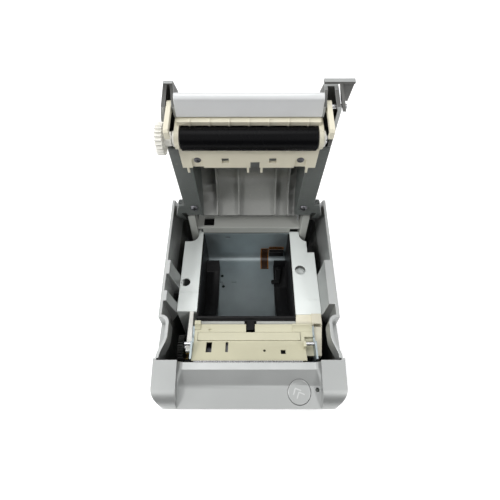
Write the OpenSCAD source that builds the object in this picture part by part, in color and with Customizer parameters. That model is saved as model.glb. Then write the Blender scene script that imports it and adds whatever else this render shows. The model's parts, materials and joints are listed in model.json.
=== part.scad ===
// Receipt printer for 80 mm paper, shown with its lid open.
// X runs to the right, Y to the rear, Z up. The origin is on the table, under the middle of the base.
// The lid's pieces are drawn with the lid shut, and opened() swings them up about the hinge.

/* [Body] */
// Width of the base
body_w = 145; // [141:1:155]
// Depth of the base, from the nose to the rear wall
body_d = 192.7; // [188:0.1:203]
// Thickness of the outer shells
wall = 2.5; // [2:0.1:3]
// Height of the rubber feet
foot_h = 2.5; // [2:0.5:4]
// Thickness of the bottom plate
plate_t = 2.5; // [2:0.5:4]
// Corner radius at the nose, seen from above
front_r = 12; // [9:1:20]
// Corner radius at the rear, seen from above
rear_r = 6; // [4:1:10]
// Height of the side rim above the decks, at the front pillars
rim_front = 19; // [16:0.5:20]
// Height of the side rim above the decks, at its rear tip
rim_rear = 33; // [28:0.5:36]
// How far the front wall stands back at its foot
undercut = 19; // [10:1:20]

/* [Roll well] */
// Height of the decks beside the paper roll
deck_z = 97; // [94:0.5:102]
// Thickness of the decks
deck_t = 2; // [1.6:0.1:3]
// Distance from the roll well to the sides of the base, on average
well_margin = 29.5; // [29:0.1:30.5]
// Sideways shift of the well, towards the gear side
well_shift = -2.5; // [-3:0.5:-2]
// Depth of the tray floor below the decks
tray_depth = 44; // [40:0.5:48]
// Thickness of the tray's sheet metal
tray_t = 1; // [0.8:0.1:1.5]
// Bend radius of the tray
tray_bend = 8; // [5:0.5:12]
// Width of a roll guide
guide_w = 14.5; // [12:0.5:16]
// Radius of the cradle in the roll guides
cradle_r = 45; // [43:0.5:48]

/* [Hinge] */
// Distance of the hinge axis from the rear wall
hinge_inset = 21.5; // [21.2:0.1:24]
// Height of the hinge axis above the decks
hinge_up = 29; // [27:0.5:32]
// Angle through which the lid opens
lid_angle = 82; // [70:1:84]
// Radius of the hinge pins
pin_r = 2.5; // [2:0.1:3]
// Running clearance of a pin or shaft in its bore
run_gap = 0.05; // [0.02:0.01:0.1]
// Wire of the lid spring
wire_d = 1.2; // [1:0.1:1.5]
// Turns of the lid spring
spring_turns = 4; // [3:1:6]

/* [Lid] */
// Distance from the lid's lower edges to the sides of the base
lid_margin = 17.5; // [16.5:0.1:18.5]
// Distance from the lid's upper edges to the sides of the base
lid_side_gap = 8; // [7.5:0.1:9]
// Radius of the lid's rounded rear about the hinge
lid_r = 18.5; // [17.5:0.1:19]
// Crown of the lid's top over a straight line
lid_crown = 5; // [4:0.5:6]
// Radius of the hood over the paper roll
hood_r = 44; // [43:0.5:45]
// Thickness of the inner mouldings
skin = 2; // [1.6:0.1:2.4]

/* [Roller] */
// Distance of the shut roller's axis from the nose
platen_inset = 58.2; // [57.7:0.1:59.2]
// Height of the shut roller's axis above the decks
platen_up = 10; // [9.5:0.1:10.5]
// Radius of the rubber
rubber_r = 7.5; // [7:0.1:7.6]
// How much longer the rubber is than the well is wide
rubber_over = 1; // [-2:0.1:2]
// Radius of the roller's shaft
shaft_r = 3; // [2.5:0.1:3.2]

/* [Gears] */
// Module of the gears
gear_m = 0.8; // [0.7:0.05:0.8]
// Teeth of the roller's gear and of the idler
wheel_teeth = 24; // [24:12:24]
// Teeth of the motor's pinion
pinion_teeth = 12; // [12:12:12]
// Width of a gear
gear_w = 4.5; // [3.5:0.1:5]
// Play between meshing teeth, as a turn of one wheel in degrees
gear_play = 0.45; // [0.3:0.05:0.6]

/* [Front] */
// Radius of the feed button
button_r = 8.6; // [7:0.1:9]
// Gap round the feed button
button_gap = 0.3; // [0.2:0.05:0.5]
// Travel of the feed button
button_travel = 1; // [0.5:0.1:1.2]
// Distance from the feed button's middle to the scoop's right end
button_end = 16.4; // [14.4:0.1:18.4]
// Distance from the scoop's ends to the sides of the base
scoop_end = 18.1; // [16.5:0.1:18.5]
// Pitch of the tear bar's teeth
tear_pitch = 1.1; // [1:0.1:1.4]

/* [Hidden] */
$fn = 48;
hull_fn = 32;
eps = 0.01;

// Colours of the mouldings and metals
silver = "#c9cbcc";
deck_grey = "#d5dadb";
dark_grey = "#4a4d4d";
mid_grey = "#9a9c9a";
cream = "#d9d4bd";
black = "#17181a";
steel = "#a9b0b5";
brass = "#c9a050";
amber = "#a5702f";
white = "#e9e8e2";
green = "#2d6b45";

// Main places that the pieces share
half_w = body_w / 2;
well_w = body_w - 2 * well_margin;
lid_w = body_w - 2 * lid_margin;
rubber_l = well_w + rubber_over;
scoop_x = half_w - scoop_end;
button_x = scoop_x - button_end;
in_x = half_w - wall;
front_y = -body_d / 2;
rear_y = body_d / 2;
floor_z = foot_h + plate_t;
hinge_y = rear_y - hinge_inset;
hinge_z = deck_z + hinge_up;
platen_y = front_y + platen_inset;
platen_z = deck_z + platen_up;
top_z = 400;

// Outline of the base, seen from the side
rim_front_z = deck_z + rim_front;
rim_rear_z = deck_z + rim_rear;
pillar_y = front_y + 31.2;
tip_y = rear_y - 14;
rear_top_z = deck_z + 7;
nose_r = 14.5;
nose_z = deck_z;
seam_z = deck_z - 5;
hump_x = lid_w / 2 - 9;
hump_z = hinge_z - 2;
hump_t = 1.6;

// Finger recesses in the sides, where the release lever is reached
recess_x = half_w - 6.5;
recess_rear_y = platen_y + 6;
recess_mid_y = platen_y - 11;
recess_front_y = pillar_y + 1.5;
recess_z = deck_z + 8;
recess_r = 4;

// Decks and well
well_l = well_shift - well_w / 2;
well_r = well_shift + well_w / 2;
deck_out = in_x - 7;
deck_front_y = platen_y + 21.2;
right_front_y = deck_front_y - 2.9;
deck_rear_y = hinge_y - 5;
tray_rear_y = hinge_y - 7;
tray_front_y = deck_front_y - 4.2;
tray_z = deck_z - tray_depth;
roll_y = hinge_y - 50.5;
cradle_low = 4;
cradle_z = tray_z + cradle_low + cradle_r;
guide_front_y = tray_front_y + 3;
guide_rear_y = tray_rear_y - 14;
guide_side_t = 1.4;
bar_rear_y = tray_front_y;
bar_front_y = tray_front_y - 4;
strip_front_y = bar_front_y - 2.6;

// Hinge
post_in = lid_w / 2 - 4.5;
post_t = 6.5;
post_out = post_in + post_t;
collar_t = 2.5;
lug_gap = collar_t + 0.1;
lug_in = post_out + lug_gap;
lug_t = 6;
lug_out = lug_in + lug_t;
lug_r = 9;
boss_r = 6.5;
post_front_y = hinge_y - 9;
post_rear_y = hinge_y + 3;
bridge_z = hinge_z - lid_r - 1.5;
bridge_t = 2.5;
pin_inner = post_in - 2;
pin_outer = lug_out + 0.8;
spring_x = well_r - 1.5;
spring_r = pin_r + 0.9 + wire_d / 2;
spring_pitch = wire_d + 0.5;
arbor_in = spring_x - 3;
spring_leg = 27;
foot_leg = 12;

// Lid, with its places given for the shut lid
lid_x = lid_w / 2;
lid_front_y = platen_y - 23;
lid_front_z = platen_z + 25.5;
lid_rear_a = 14;
liner_z = platen_z + 2.5;
skirt_rear_y = hinge_y - 16;
skirt_step_y = platen_y + 12;
skirt_front_z = platen_z + 11;
ear_x = lid_w / 2 - 9.4;
notch_y = platen_y - 9.3;
hood_x = ear_x - 4.6;
hood_up = 41;
hood_z = deck_z + hood_up - hood_r;
hood_front_a = 140;
hood_rear_a = 25;
lid_steps = 14;
lid_top_x = half_w - lid_side_gap;
lid_flare = (lid_top_x - lid_x) / 30;
ear_rear_y = lid_front_y + 22;
ear_side_x = lid_top_x - 3.5;
left_side_x = lid_x + 1.6;
ear_tip_x = lid_x - 0.5;
ear_taper = 1.8;

// Roller, cheeks and latch
rubber_x = rubber_l / 2;
cheek_in = rubber_x + 0.7;
cheek_t = 3;
cheek_out = cheek_in + cheek_t;
bush_r = 5;
trough_r = rubber_r + 0.8;
gear_out_x = lid_x + 3.6;
gear_in_x = gear_out_x - gear_w;
latch_y = platen_y - 12.5;
latch_z = platen_z + 15;
latch_r = 1.6;
hook_in = ear_x + skin + 0.8;
hook_out = lid_x - wall - 1;
stud_r = 1.5;
stud_y = platen_y - 9.8;
stud_z = platen_z - 4.3;
stud_rear_y = platen_y - trough_r - 0.3;
hook_gap = 0.25;

// Mechanism
cover_l = -rubber_x - 2;
cover_r = lid_x - 2;
cover_front_y = pillar_y + 3;
cover_rear_y = platen_y + 7.8;
cover_front_z = platen_z - 3;
cover_rear_z = platen_z - 6.5;
cover_flat_z = platen_z - rubber_r - 0.9;
cover_low_z = deck_z - 5;
frame_t = 1.5;
bay_in = ear_x + 0.4;
bay_rear_y = platen_y - 2.5;
bay_floor_z = deck_z - 1;
rod_r = 1.5;

// Gear train below the shut roller
wheel_r = gear_m * wheel_teeth / 2;
pinion_r = gear_m * pinion_teeth / 2;
mesh_gap = 0.1;
link_a = -116.7;
link_d = 2 * wheel_r + mesh_gap;
idler_y = platen_y + link_d * cos(link_a);
idler_z = platen_z + link_d * sin(link_a);
drive_a = -90;
drive_d = wheel_r + pinion_r + mesh_gap;
motor_y = idler_y + drive_d * cos(drive_a);
motor_z = idler_z + drive_d * sin(drive_a);
motor_r = 12.5;
motor_l = 30;
motor_shaft_r = 1.5;
stud_axle_r = 2;

// Thermal head, which lies under the shut roller
head_a = 270;
head_gap = 0.15;
head_up = 5.2;
head_down = 0.8;
head_t = 5.5;
head_x = rubber_x - 1.5;
head_n = [cos(head_a), sin(head_a)];
head_e = [-sin(head_a), cos(head_a)];
head_line = [platen_y, platen_z] + (rubber_r + head_gap) * head_n;
head_pivot = head_line - (head_up - 1.2) * head_e + (head_t - 1.3) * head_n;
head_room = 0.8;
head_back = head_line - head_e + (head_t + 1) * head_n;

// Nose
scoop_rear_z = deck_z + 13;
scoop_low_z = deck_z + 6.2;
scoop_bend_y = front_y + 15.7;
button_y = front_y + button_r + button_gap + 2.1;
button_h = 8;
lamp_x = scoop_x - 2.6;
lamp_y = button_y + 1.7;
lamp_r = 1.6;
board_low_z = deck_z - 8;
board_t = 1.6;

// Rear sockets
main_z = floor_z + 7;
panel_y = rear_y - 9;
panel_t = 1.2;
rear_win_x = half_w - 20.5;
rear_win_lo = floor_z + 6;
rear_win_hi = floor_z + 41;
socket_z = main_z + board_t;
rocker_z = socket_z + 15;
rocker_r = 7;

// A box from its lowest to its highest corner
module block(lo, hi) {
    translate(lo)
        cube(hi - lo);
}

// Extrudes a side view, drawn as (Y, Z), from x0 to x1
module across(x0, x1) {
    translate([x0, 0, 0])
        rotate([90, 0, 90])
            linear_extrude(x1 - x0)
                children();
}

// Extrudes a front view, drawn as (X, Z), from y0 to y1
module along_y(y0, y1) {
    translate([0, y1, 0])
        rotate([90, 0, 0])
            linear_extrude(y1 - y0)
                children();
}

// A round bar along X
module bar_x(x0, x1, r, y, z) {
    translate([x0, y, z])
        rotate([0, 90, 0])
            cylinder(h = x1 - x0, r = r);
}

// The children and their mirror image across the middle plane
module both_sides() {
    children();
    mirror([1, 0, 0])
        children();
}

// Swings a piece of the shut lid up to where it stands open
module opened() {
    translate([0, hinge_y, hinge_z])
        rotate([-lid_angle, 0, 0])
            translate([0, -hinge_y, -hinge_z])
                children();
}

// Points of an arc, as a list
function arc(c, r, a0, a1, steps) =
    [for (i = [0:steps]) let (a = a0 + (a1 - a0) * i / steps) [c[0] + r * cos(a), c[1] + r * sin(a)]];

// Plan outline of the base, drawn in by d
function plan_points(d) = concat(
    arc([-half_w + front_r, front_y + front_r], front_r - d, 180, 270, 9),
    arc([half_w - front_r, front_y + front_r], front_r - d, 270, 360, 9),
    arc([half_w - rear_r, rear_y - rear_r], rear_r - d, 0, 90, 6),
    arc([-half_w + rear_r, rear_y - rear_r], rear_r - d, 90, 180, 6)
);

// Angle at which the line from the pillar meets the nose arc
nose_reach = [pillar_y - (front_y + nose_r), rim_front_z - nose_z];
nose_top_a = atan2(nose_reach[1], nose_reach[0]) + acos(nose_r / norm(nose_reach));

// Side outline of the whole base
function side_points() = concat(
    [[rear_y, foot_h], [rear_y, rear_top_z], [tip_y, rim_rear_z], [pillar_y, rim_front_z]],
    arc([front_y + nose_r, nose_z], nose_r, nose_top_a, 180, 9),
    [[front_y + undercut, foot_h]]
);

// Side outline of the hollow, open at the top and the bottom
function hollow_points() = [
    [rear_y - wall, 0],
    [rear_y - wall, top_z],
    [front_y + wall, top_z],
    [front_y + wall, nose_z],
    [front_y + undercut + wall, foot_h],
    [front_y + undercut + wall, 0]
];

// The outer form of the base, before it is hollowed
module base_form() {
    intersection() {
        across(-half_w, half_w)
            polygon(side_points());
        linear_extrude(top_z)
            polygon(plan_points(0));
    }
}

module base_hollow() {
    intersection() {
        across(-in_x, in_x)
            polygon(hollow_points());
        linear_extrude(top_z)
            polygon(plan_points(wall));
    }
}

// Plan outline of the right finger recess, grown by d
function recess_points(d) = concat(
    [[half_w + 1, recess_rear_y + d]],
    arc([recess_x + recess_r, recess_rear_y - recess_r], recess_r + d, 90, 180, 5),
    [for (i = [0:8])
        let (t = i / 8, b = t * t * (3 - 2 * t))
            [recess_x - d + (half_w - 1.5 - recess_x) * b,
                recess_mid_y + 3 + (recess_front_y - recess_mid_y - 3) * t]],
    [[half_w + 1, recess_front_y]]
);

// One ramp inside a side wall, from the rim down to the deck's edge
module wall_ramp(y0, y1, top_x) {
    along_y(y0, y1)
        polygon([
            [in_x + eps, top_z],
            [top_x, top_z],
            [top_x, deck_z + 22],
            [deck_out, deck_z - 2],
            [deck_out, deck_z - 6],
            [in_x + eps, deck_z - 20]
        ]);
}

// Opening of the roller's trough, over the mechanism's whole width
module trough() {
    bar_x(cover_l - 10, cover_r + 10, trough_r, platen_y, platen_z);
}

module base_casing() {
    color(silver)
        difference() {
            union() {
                difference() {
                    base_form();
                    base_hollow();
                }
                intersection() {
                    base_form();
                    union() {
                        both_sides()
                            translate([0, 0, recess_z - wall])
                                linear_extrude(top_z)
                                    polygon(recess_points(wall));
                        wall_ramp(deck_front_y - 4, deck_front_y + 36, in_x - 5);
                        mirror([1, 0, 0]) {
                            wall_ramp(deck_front_y - 1, deck_front_y + 8, in_x - 2.4);
                            wall_ramp(deck_front_y + 23, deck_front_y + 36, in_x - 2.4);
                        }
                    }
                }
                block([-hump_x, rear_y - hump_t, rear_top_z - wall], [hump_x, rear_y, hump_z]);
            }
            both_sides()
                translate([0, 0, recess_z])
                    linear_extrude(top_z)
                        polygon(recess_points(0));
            block([-half_w, front_y - 1, seam_z], [half_w, pillar_y, top_z]);
            block([-rear_win_x, rear_y - wall - 1, rear_win_lo], [rear_win_x, rear_y + 1, rear_win_hi]);
        }
}

// Side outline of what is scooped out of the nose, lowered by d
function scoop_points(d) = [
    [pillar_y + 1, scoop_rear_z - d],
    [pillar_y - 5.5, scoop_rear_z - d],
    [scoop_bend_y, scoop_low_z - d],
    [scoop_bend_y - 3, scoop_low_z - 0.8 - d],
    [front_y - 1, deck_z + 1 - d],
    [front_y - 1, deck_z + 40],
    [pillar_y + 1, deck_z + 40]
];

// The slanting cheeks that close the scoop's rear corners
module scoop_cheeks() {
    both_sides()
        hull() {
            block([scoop_x - 4.4, pillar_y - 5.5, scoop_rear_z - 0.2], [scoop_x + 1, pillar_y, scoop_rear_z]);
            block([scoop_x, scoop_bend_y, scoop_low_z - 0.2], [scoop_x + 1, scoop_bend_y + 0.2, scoop_low_z]);
            block([scoop_x, pillar_y - 5.5, rim_front_z - 4], [scoop_x + 1, pillar_y, rim_front_z - 3.8]);
        }
}

module front_bezel() {
    color(silver)
        difference() {
            union() {
                difference() {
                    intersection() {
                        base_form();
                        block([-half_w, front_y, seam_z], [half_w, pillar_y, top_z]);
                    }
                    across(-scoop_x, scoop_x)
                        polygon(scoop_points(0));
                    difference() {
                        intersection() {
                            translate([0, 0, -wall])
                                base_form();
                            base_hollow();
                            block([-half_w, front_y, seam_z - 1], [half_w, pillar_y + 1, top_z]);
                        }
                        across(-scoop_x - wall, scoop_x + wall)
                            polygon(scoop_points(wall));
                    }
                }
                intersection() {
                    base_form();
                    scoop_cheeks();
                }
                both_sides()
                    translate([button_x + button_r + 5, scoop_bend_y + 4, board_low_z + board_t])
                        cylinder(h = scoop_low_z + 1.2 - board_low_z - board_t, r = 2.5);
            }
            translate([button_x, button_y, seam_z - 1])
                cylinder(h = 40, r = button_r + button_gap);
            translate([lamp_x, lamp_y, seam_z - 1])
                cylinder(h = 40, r = lamp_r);
        }
}

module bottom_plate() {
    color(dark_grey)
        intersection() {
            translate([0, 0, foot_h])
                linear_extrude(plate_t)
                    polygon(plan_points(wall));
            block([-in_x, front_y + undercut + wall, 0], [in_x, rear_y - wall, top_z]);
        }
}

foot_x = half_w - 15;
foot_r = 7;
foot_front_y = front_y + undercut + 14;
foot_rear_y = rear_y - 14;

module rubber_feet() {
    color(black)
        for (x = [-foot_x, foot_x], y = [foot_front_y, foot_rear_y])
            translate([x, y, 0])
                difference() {
                    cylinder(h = foot_h, r = foot_r);
                    translate([0, 0, -1])
                        cylinder(h = 1.8, r = 2);
                }
}

module base_screws() {
    color(steel)
        for (x = [-foot_x + 12, foot_x - 12], y = [foot_front_y + 4, foot_rear_y - 4])
            translate([x, y, foot_h - 1])
                cylinder(h = 1, r = 3);
}

cut_r = 8;

// Plan of the left deck: a strip with a rounded cut-out for the hinge post at its rear
module left_deck_plan() {
    difference() {
        translate([-deck_out, deck_front_y])
            square([deck_out + well_l, deck_rear_y - deck_front_y]);
        translate([-post_in - deck_out, hinge_y - 9])
            square([deck_out + 0.5, 30]);
        translate([-post_in - deck_out, hinge_y - 9 - cut_r])
            square([deck_out + 0.5 - cut_r, 30]);
        translate([-post_in + 0.5 - cut_r, hinge_y - 9])
            circle(cut_r);
    }
    translate([-post_in + 0.5, deck_front_y])
        square([2.5, hinge_y + 4 - deck_front_y]);
}

// Plan of the right deck: as the left one, with a step in its outer edge
module right_deck_plan() {
    difference() {
        translate([well_r, right_front_y])
            square([deck_out - well_r, deck_rear_y - right_front_y]);
        translate([post_in - 0.5, hinge_y - 9])
            square([deck_out, 30]);
        translate([post_in - 0.5 + cut_r, hinge_y - 9 - cut_r])
            square([deck_out, 30]);
        translate([post_in - 0.5 + cut_r, hinge_y - 9])
            circle(cut_r);
        translate([deck_out - 6.5, hinge_y - 30])
            square([10, 30]);
    }
}

left_hole_r = 4.1;
left_hole = [-deck_out + left_hole_r + 1, deck_front_y + 29];
right_cup = [well_r + 7.5, deck_front_y + 42];
right_cup_r = 4.9;
deck_wall_low = 35;

module left_deck() {
    color(deck_grey)
        difference() {
            union() {
                translate([0, 0, deck_z - deck_t])
                    linear_extrude(deck_t)
                        left_deck_plan();
                block([well_l - skin, deck_front_y, deck_wall_low], [well_l, deck_rear_y, deck_z]);
                block([-deck_out, deck_front_y, floor_z], [-deck_out + skin, hinge_y - 19, deck_z]);
                block([-deck_out, deck_front_y, deck_wall_low], [well_l, deck_front_y + skin, deck_z]);
            }
            translate([left_hole[0], left_hole[1], deck_z - deck_t - 1])
                cylinder(h = deck_t + 2, r = left_hole_r);
        }
}

module right_deck() {
    color(deck_grey)
        difference() {
            union() {
                translate([0, 0, deck_z - deck_t])
                    linear_extrude(deck_t)
                        right_deck_plan();
                block([well_r, right_front_y, deck_wall_low], [well_r + skin, deck_rear_y, deck_z]);
                block([deck_out - skin, right_front_y, floor_z], [deck_out, hinge_y - 31, deck_z]);
                block([well_r, right_front_y, deck_wall_low], [deck_out, right_front_y + skin, deck_z]);
                translate([right_cup[0], right_cup[1], deck_z - 7])
                    cylinder(h = 6, r = right_cup_r + 1.5);
            }
            translate([right_cup[0], right_cup[1], deck_z - 5])
                cylinder(h = 10, r = right_cup_r);
        }
}

// Side view of the tray's upper face, from its rear wall's top to its front end
function tray_face(d) = concat(
    [[tray_rear_y - d, deck_z]],
    arc([tray_rear_y - tray_bend, tray_z + tray_bend], tray_bend - d, 0, -90, 8),
    [[tray_front_y + 22, tray_z + d]],
    [[tray_front_y, tray_z + 14 + d]]
);

function reversed(list) = [for (i = [len(list) - 1:-1:0]) list[i]];

module paper_tray() {
    color(steel)
        difference() {
            across(well_l, well_r)
                polygon(concat(tray_face(0), reversed(tray_face(tray_t))));
            block(
                [well_shift - 21.5, tray_rear_y - 2, deck_z - 7],
                [well_shift - 16.5, tray_rear_y + 1, deck_z - 5]
            );
            for (p = [[-24.2, 6.4], [-26, 19]])
                translate([well_shift + p[0], roll_y + p[1], tray_z - 1])
                    cylinder(h = 4, r = 1.6);
        }
}

// Side view of a roll guide: flat underneath, with the cradle's arc on top
module guide_side() {
    difference() {
        polygon(concat(
            [[guide_front_y, deck_z - 14], [guide_rear_y, deck_z - 14], [guide_rear_y, tray_z + tray_t]],
            [[tray_front_y + 22, tray_z + tray_t]],
            [[guide_front_y, tray_z + tray_t + 14 * (tray_front_y + 22 - guide_front_y) / 22]]
        ));
        translate([roll_y, cradle_z])
            circle(cradle_r, $fn = 96);
    }
}

module left_roll_guide() {
    color(black) {
        across(well_l, well_l + guide_w)
            guide_side();
        across(well_l, well_l + guide_side_t)
            polygon(concat(tray_face(tray_t), [[tray_front_y, deck_z]]));
    }
}

lever_y = guide_rear_y - 4.5;
lever_x = well_r - guide_w + 5;
lever_low_z = tray_z + tray_t + 1.2;
lever_h = 3;
lever_tip_x = well_r - guide_w - 3;
lever_tip_y = lever_y - 15;

module right_roll_guide() {
    color(black)
        difference() {
            union() {
                across(well_r - guide_w, well_r)
                    guide_side();
                across(well_r - guide_side_t, well_r)
                    polygon(concat(tray_face(tray_t), [[tray_front_y, deck_z]]));
            }
            block(
                [well_r - guide_w - 1, lever_tip_y - 6, lever_low_z - 0.6],
                [well_r - 2, lever_y + 4, lever_low_z + 40]
            );
        }
}

module near_end_lever() {
    color(black)
        translate([0, 0, lever_low_z])
            difference() {
                linear_extrude(lever_h)
                    union() {
                        translate([lever_x, lever_y])
                            circle(3);
                        translate([lever_tip_x + 2, lever_tip_y])
                            circle(2);
                        polygon([
                            [lever_x + 3, lever_y],
                            [lever_x - 3, lever_y],
                            [lever_x - 3, lever_tip_y + 2],
                            [lever_tip_x + 2, lever_tip_y + 2],
                            [lever_tip_x + 2, lever_tip_y - 2],
                            [lever_x, lever_tip_y - 2]
                        ]);
                    }
                translate([lever_x, lever_y, -1])
                    cylinder(h = lever_h + 2, r = rod_r + run_gap);
            }
}

module near_end_sensor() {
    color(black) {
        translate([lever_x, lever_y, lever_low_z - 0.6])
            cylinder(h = lever_h + 1.6, r = rod_r);
        block(
            [well_r - 19, tray_rear_y - tray_t - 4, tray_z + tray_bend + 1],
            [well_r - 4, tray_rear_y - tray_t, tray_z + tray_bend + 8]
        );
    }
}

flex_t = 0.3;

module sensor_flex() {
    color(amber) {
        across(well_r - 28, well_r - 19.5)
            intersection() {
                polygon(concat(tray_face(tray_t), reversed(tray_face(tray_t + flex_t))));
                translate([tray_rear_y - 16, tray_z])
                    square([20, 18]);
            }
        block(
            [well_r - 19.5, tray_rear_y - tray_t - flex_t, tray_z + tray_bend + 9],
            [well_r - 4, tray_rear_y - tray_t, tray_z + tray_bend + 13]
        );
    }
}

flag_l = -1.5;
flag_r = 4;
flag_y = bar_front_y - 2;
flag_z = deck_z - 9;

module roll_crossbar() {
    color(black) {
        across(well_l, well_r)
            polygon([
                [bar_rear_y, deck_z - 0.5],
                [bar_rear_y, deck_wall_low + 15],
                [bar_rear_y - 2, deck_wall_low + 15],
                [bar_rear_y - 2, deck_z - 5],
                [bar_front_y, deck_z - 5],
                [bar_front_y, deck_z - 2.6],
                [bar_rear_y - 2.4, deck_z - 2.4],
                [bar_rear_y - 2, deck_z - 0.5]
            ]);
        for (x = [flag_l - 2, flag_r + 0.4])
            difference() {
                block([x, strip_front_y, flag_z - 3], [x + 1.6, bar_front_y + 3, deck_z - 4.5]);
                bar_x(x - 1, x + 3, rod_r + run_gap, flag_y, flag_z);
            }
    }
}

module guide_strip() {
    color(mid_grey)
        difference() {
            block([well_l, strip_front_y, deck_z - 5], [well_r, bar_front_y, deck_z - 2.5]);
            block([flag_l - 2.4, strip_front_y - 1, deck_z - 6], [flag_r + 2.4, bar_front_y + 1, deck_z]);
        }
}

module paper_flag() {
    color(black) {
        bar_x(flag_l - 2, flag_r + 2, rod_r, flag_y, flag_z);
        across(flag_l, flag_r)
            polygon([
                [flag_y - 1, flag_z - 1],
                [flag_y - 0.7, cover_flat_z - 3],
                [platen_y + 3.6, cover_flat_z - 0.6],
                [platen_y + 3.6, cover_flat_z + 0.5],
                [flag_y + 0.7, cover_flat_z - 0.4],
                [flag_y + 0.7, flag_z + 1]
            ]);
    }
}

module rear_bridge() {
    color(mid_grey)
        difference() {
            union() {
                block([-post_in, tray_rear_y, bridge_z - bridge_t], [post_in, rear_y - wall, bridge_z]);
                block([well_l, tray_rear_y, deck_z + 0.5], [well_r, tray_rear_y + skin, bridge_z]);
            }
            block([well_l + 1, tray_rear_y + 3, bridge_z - 4], [well_l + 11, tray_rear_y + 13, bridge_z + 1]);
        }
}

// One hinge post on the right side
module hinge_post() {
    difference() {
        union() {
            block([post_in, post_front_y, floor_z], [post_out, post_rear_y, hinge_z]);
            bar_x(post_in, post_out, boss_r, hinge_y, hinge_z);
        }
        bar_x(post_in - 1, post_out + 1, pin_r, hinge_y, hinge_z);
        block([post_in + 2, post_front_y - 1, floor_z + 8], [post_out - 2, post_front_y + 4, deck_z - 14]);
    }
}

module left_hinge_post() {
    color(mid_grey)
        mirror([1, 0, 0])
            hinge_post();
}

module right_hinge_post() {
    color(mid_grey)
        hinge_post();
}

module hinge_pins() {
    color(brass) {
        bar_x(-pin_outer, -pin_inner, pin_r, hinge_y, hinge_z);
        bar_x(arbor_in, pin_outer, pin_r, hinge_y, hinge_z);
        both_sides()
            bar_x(post_out, post_out + collar_t, pin_r + 1.3, hinge_y, hinge_z);
    }
}

// Side plate of the mechanism's chassis
module chassis_side(x) {
    difference() {
        union() {
            block([x, cover_front_y + 1, floor_z], [x + frame_t, cover_rear_y - 1, cover_rear_z - 1]);
            block([x, cover_front_y + 1, cover_low_z], [x + frame_t, stud_rear_y, stud_z + 3]);
        }
        trough();
        bar_x(x - 1, x + frame_t + 1, rod_r + run_gap, head_pivot[0], head_pivot[1]);
    }
}

module mechanism_frame() {
    color(steel)
        difference() {
            union() {
                chassis_side(cover_l - frame_t);
                chassis_side(cover_r);
                block(
                    [cover_l, cover_front_y + 1, motor_z - motor_r - 6],
                    [cover_r, cover_rear_y - 1, motor_z - motor_r - 6 + frame_t]
                );
                block(
                    [cover_l, cover_front_y + 1, motor_z - motor_r - 6],
                    [cover_r, cover_front_y + 1 + frame_t, cover_low_z]
                );
            }
            bar_x(cover_l - 3, cover_l + 1, 5, motor_y, motor_z);
            bar_x(cover_l - 3, cover_l + 1, stud_axle_r, idler_y, idler_z);
        }
}

// Side view of the mechanism cover, with the roller's trough in it
module cover_side() {
    difference() {
        polygon([
            [cover_front_y, cover_low_z],
            [cover_front_y, cover_front_z],
            [platen_y - 7, cover_flat_z],
            [platen_y + 4, cover_flat_z],
            [cover_rear_y, cover_rear_z],
            [cover_rear_y, cover_low_z]
        ]);
        translate([platen_y, platen_z])
            circle(trough_r);
        polygon([
            [cover_front_y + skin, cover_low_z - 1],
            [cover_front_y + skin, cover_front_z - skin - 0.6],
            [platen_y - 7, cover_flat_z - skin],
            [platen_y + 4.5, cover_flat_z - skin],
            [cover_rear_y - skin, cover_rear_z - skin - 0.4],
            [cover_rear_y - skin, cover_low_z - 1]
        ]);
    }
}

// Side view of the thermal head, grown by d
function head_points(d) = [
    head_line - (head_up + d) * head_e - d * head_n,
    head_line + (head_down + d) * head_e - d * head_n,
    head_line + (head_down + d) * head_e + (head_t + d) * head_n,
    head_line - (head_up + d) * head_e + (head_t + d) * head_n
];

// Windows in the cover: left, right, front and rear edges
cover_windows = [
    [cover_l + 10.5, cover_l + 15.2, platen_y - 16.5, platen_y - 6.9],
    [cover_l + 26.3, cover_l + 28.5, platen_y - 16.3, platen_y - 6.9],
    [cover_l + 71, cover_l + 75, platen_y - 18, platen_y - 14.2]
];

module mechanism_cover() {
    color(cream)
        difference() {
            union() {
                difference() {
                    across(cover_l, cover_r)
                        cover_side();
                    block([bay_in, cover_front_y - 1, cover_low_z - 1], [cover_r + 1, bay_rear_y, top_z]);
                }
                block([bay_in - 2, platen_y - 13, cover_low_z], [bay_in, stud_rear_y, stud_z + 3]);
                block([bay_in - 2, platen_y - 17.6, cover_low_z], [cover_r, bay_rear_y + 1, bay_floor_z]);
                block(
                    [cover_l, platen_y + 3.8, cover_rear_z - 3.5],
                    [cover_l + 5, strip_front_y - 0.2, cover_rear_z + 2.5]
                );
                block(
                    [head_x - 5.5, platen_y + 1.8, cover_flat_z - 1],
                    [cover_r, cover_rear_y, cover_rear_z + 1.5]
                );
            }
            trough();
            across(-head_x - head_room, head_x + head_room)
                polygon(head_points(head_room));
            bar_x(cover_l - 1, cover_r + 1, rod_r + 0.5, head_pivot[0], head_pivot[1]);
            block([flag_l - 1, platen_y + 1.6, cover_low_z - 1], [flag_r + 1, cover_rear_y + 1, top_z]);
            for (w = cover_windows)
                block([w[0], w[2], cover_low_z - 1], [w[1], w[3], top_z]);
            translate([cover_l + 58, platen_y - 14.9, cover_low_z - 1])
                cylinder(h = 20, r = 1.1);
            translate([cover_l + 12.8, platen_y + 3.4, cover_flat_z - 1])
                cylinder(h = 10, r = 1.2);
        }
}

// White arm beside the gears, from the chassis to the left deck
module gear_guard() {
    arm_x = cover_l - frame_t;
    color(white)
        translate([0, 0, deck_z - 4])
            linear_extrude(4)
                polygon([
                    [arm_x, platen_y - 14],
                    [arm_x - 5, platen_y - 14],
                    [arm_x - 4.4, deck_front_y],
                    [arm_x - 1.3, deck_front_y]
                ]);
}

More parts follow.
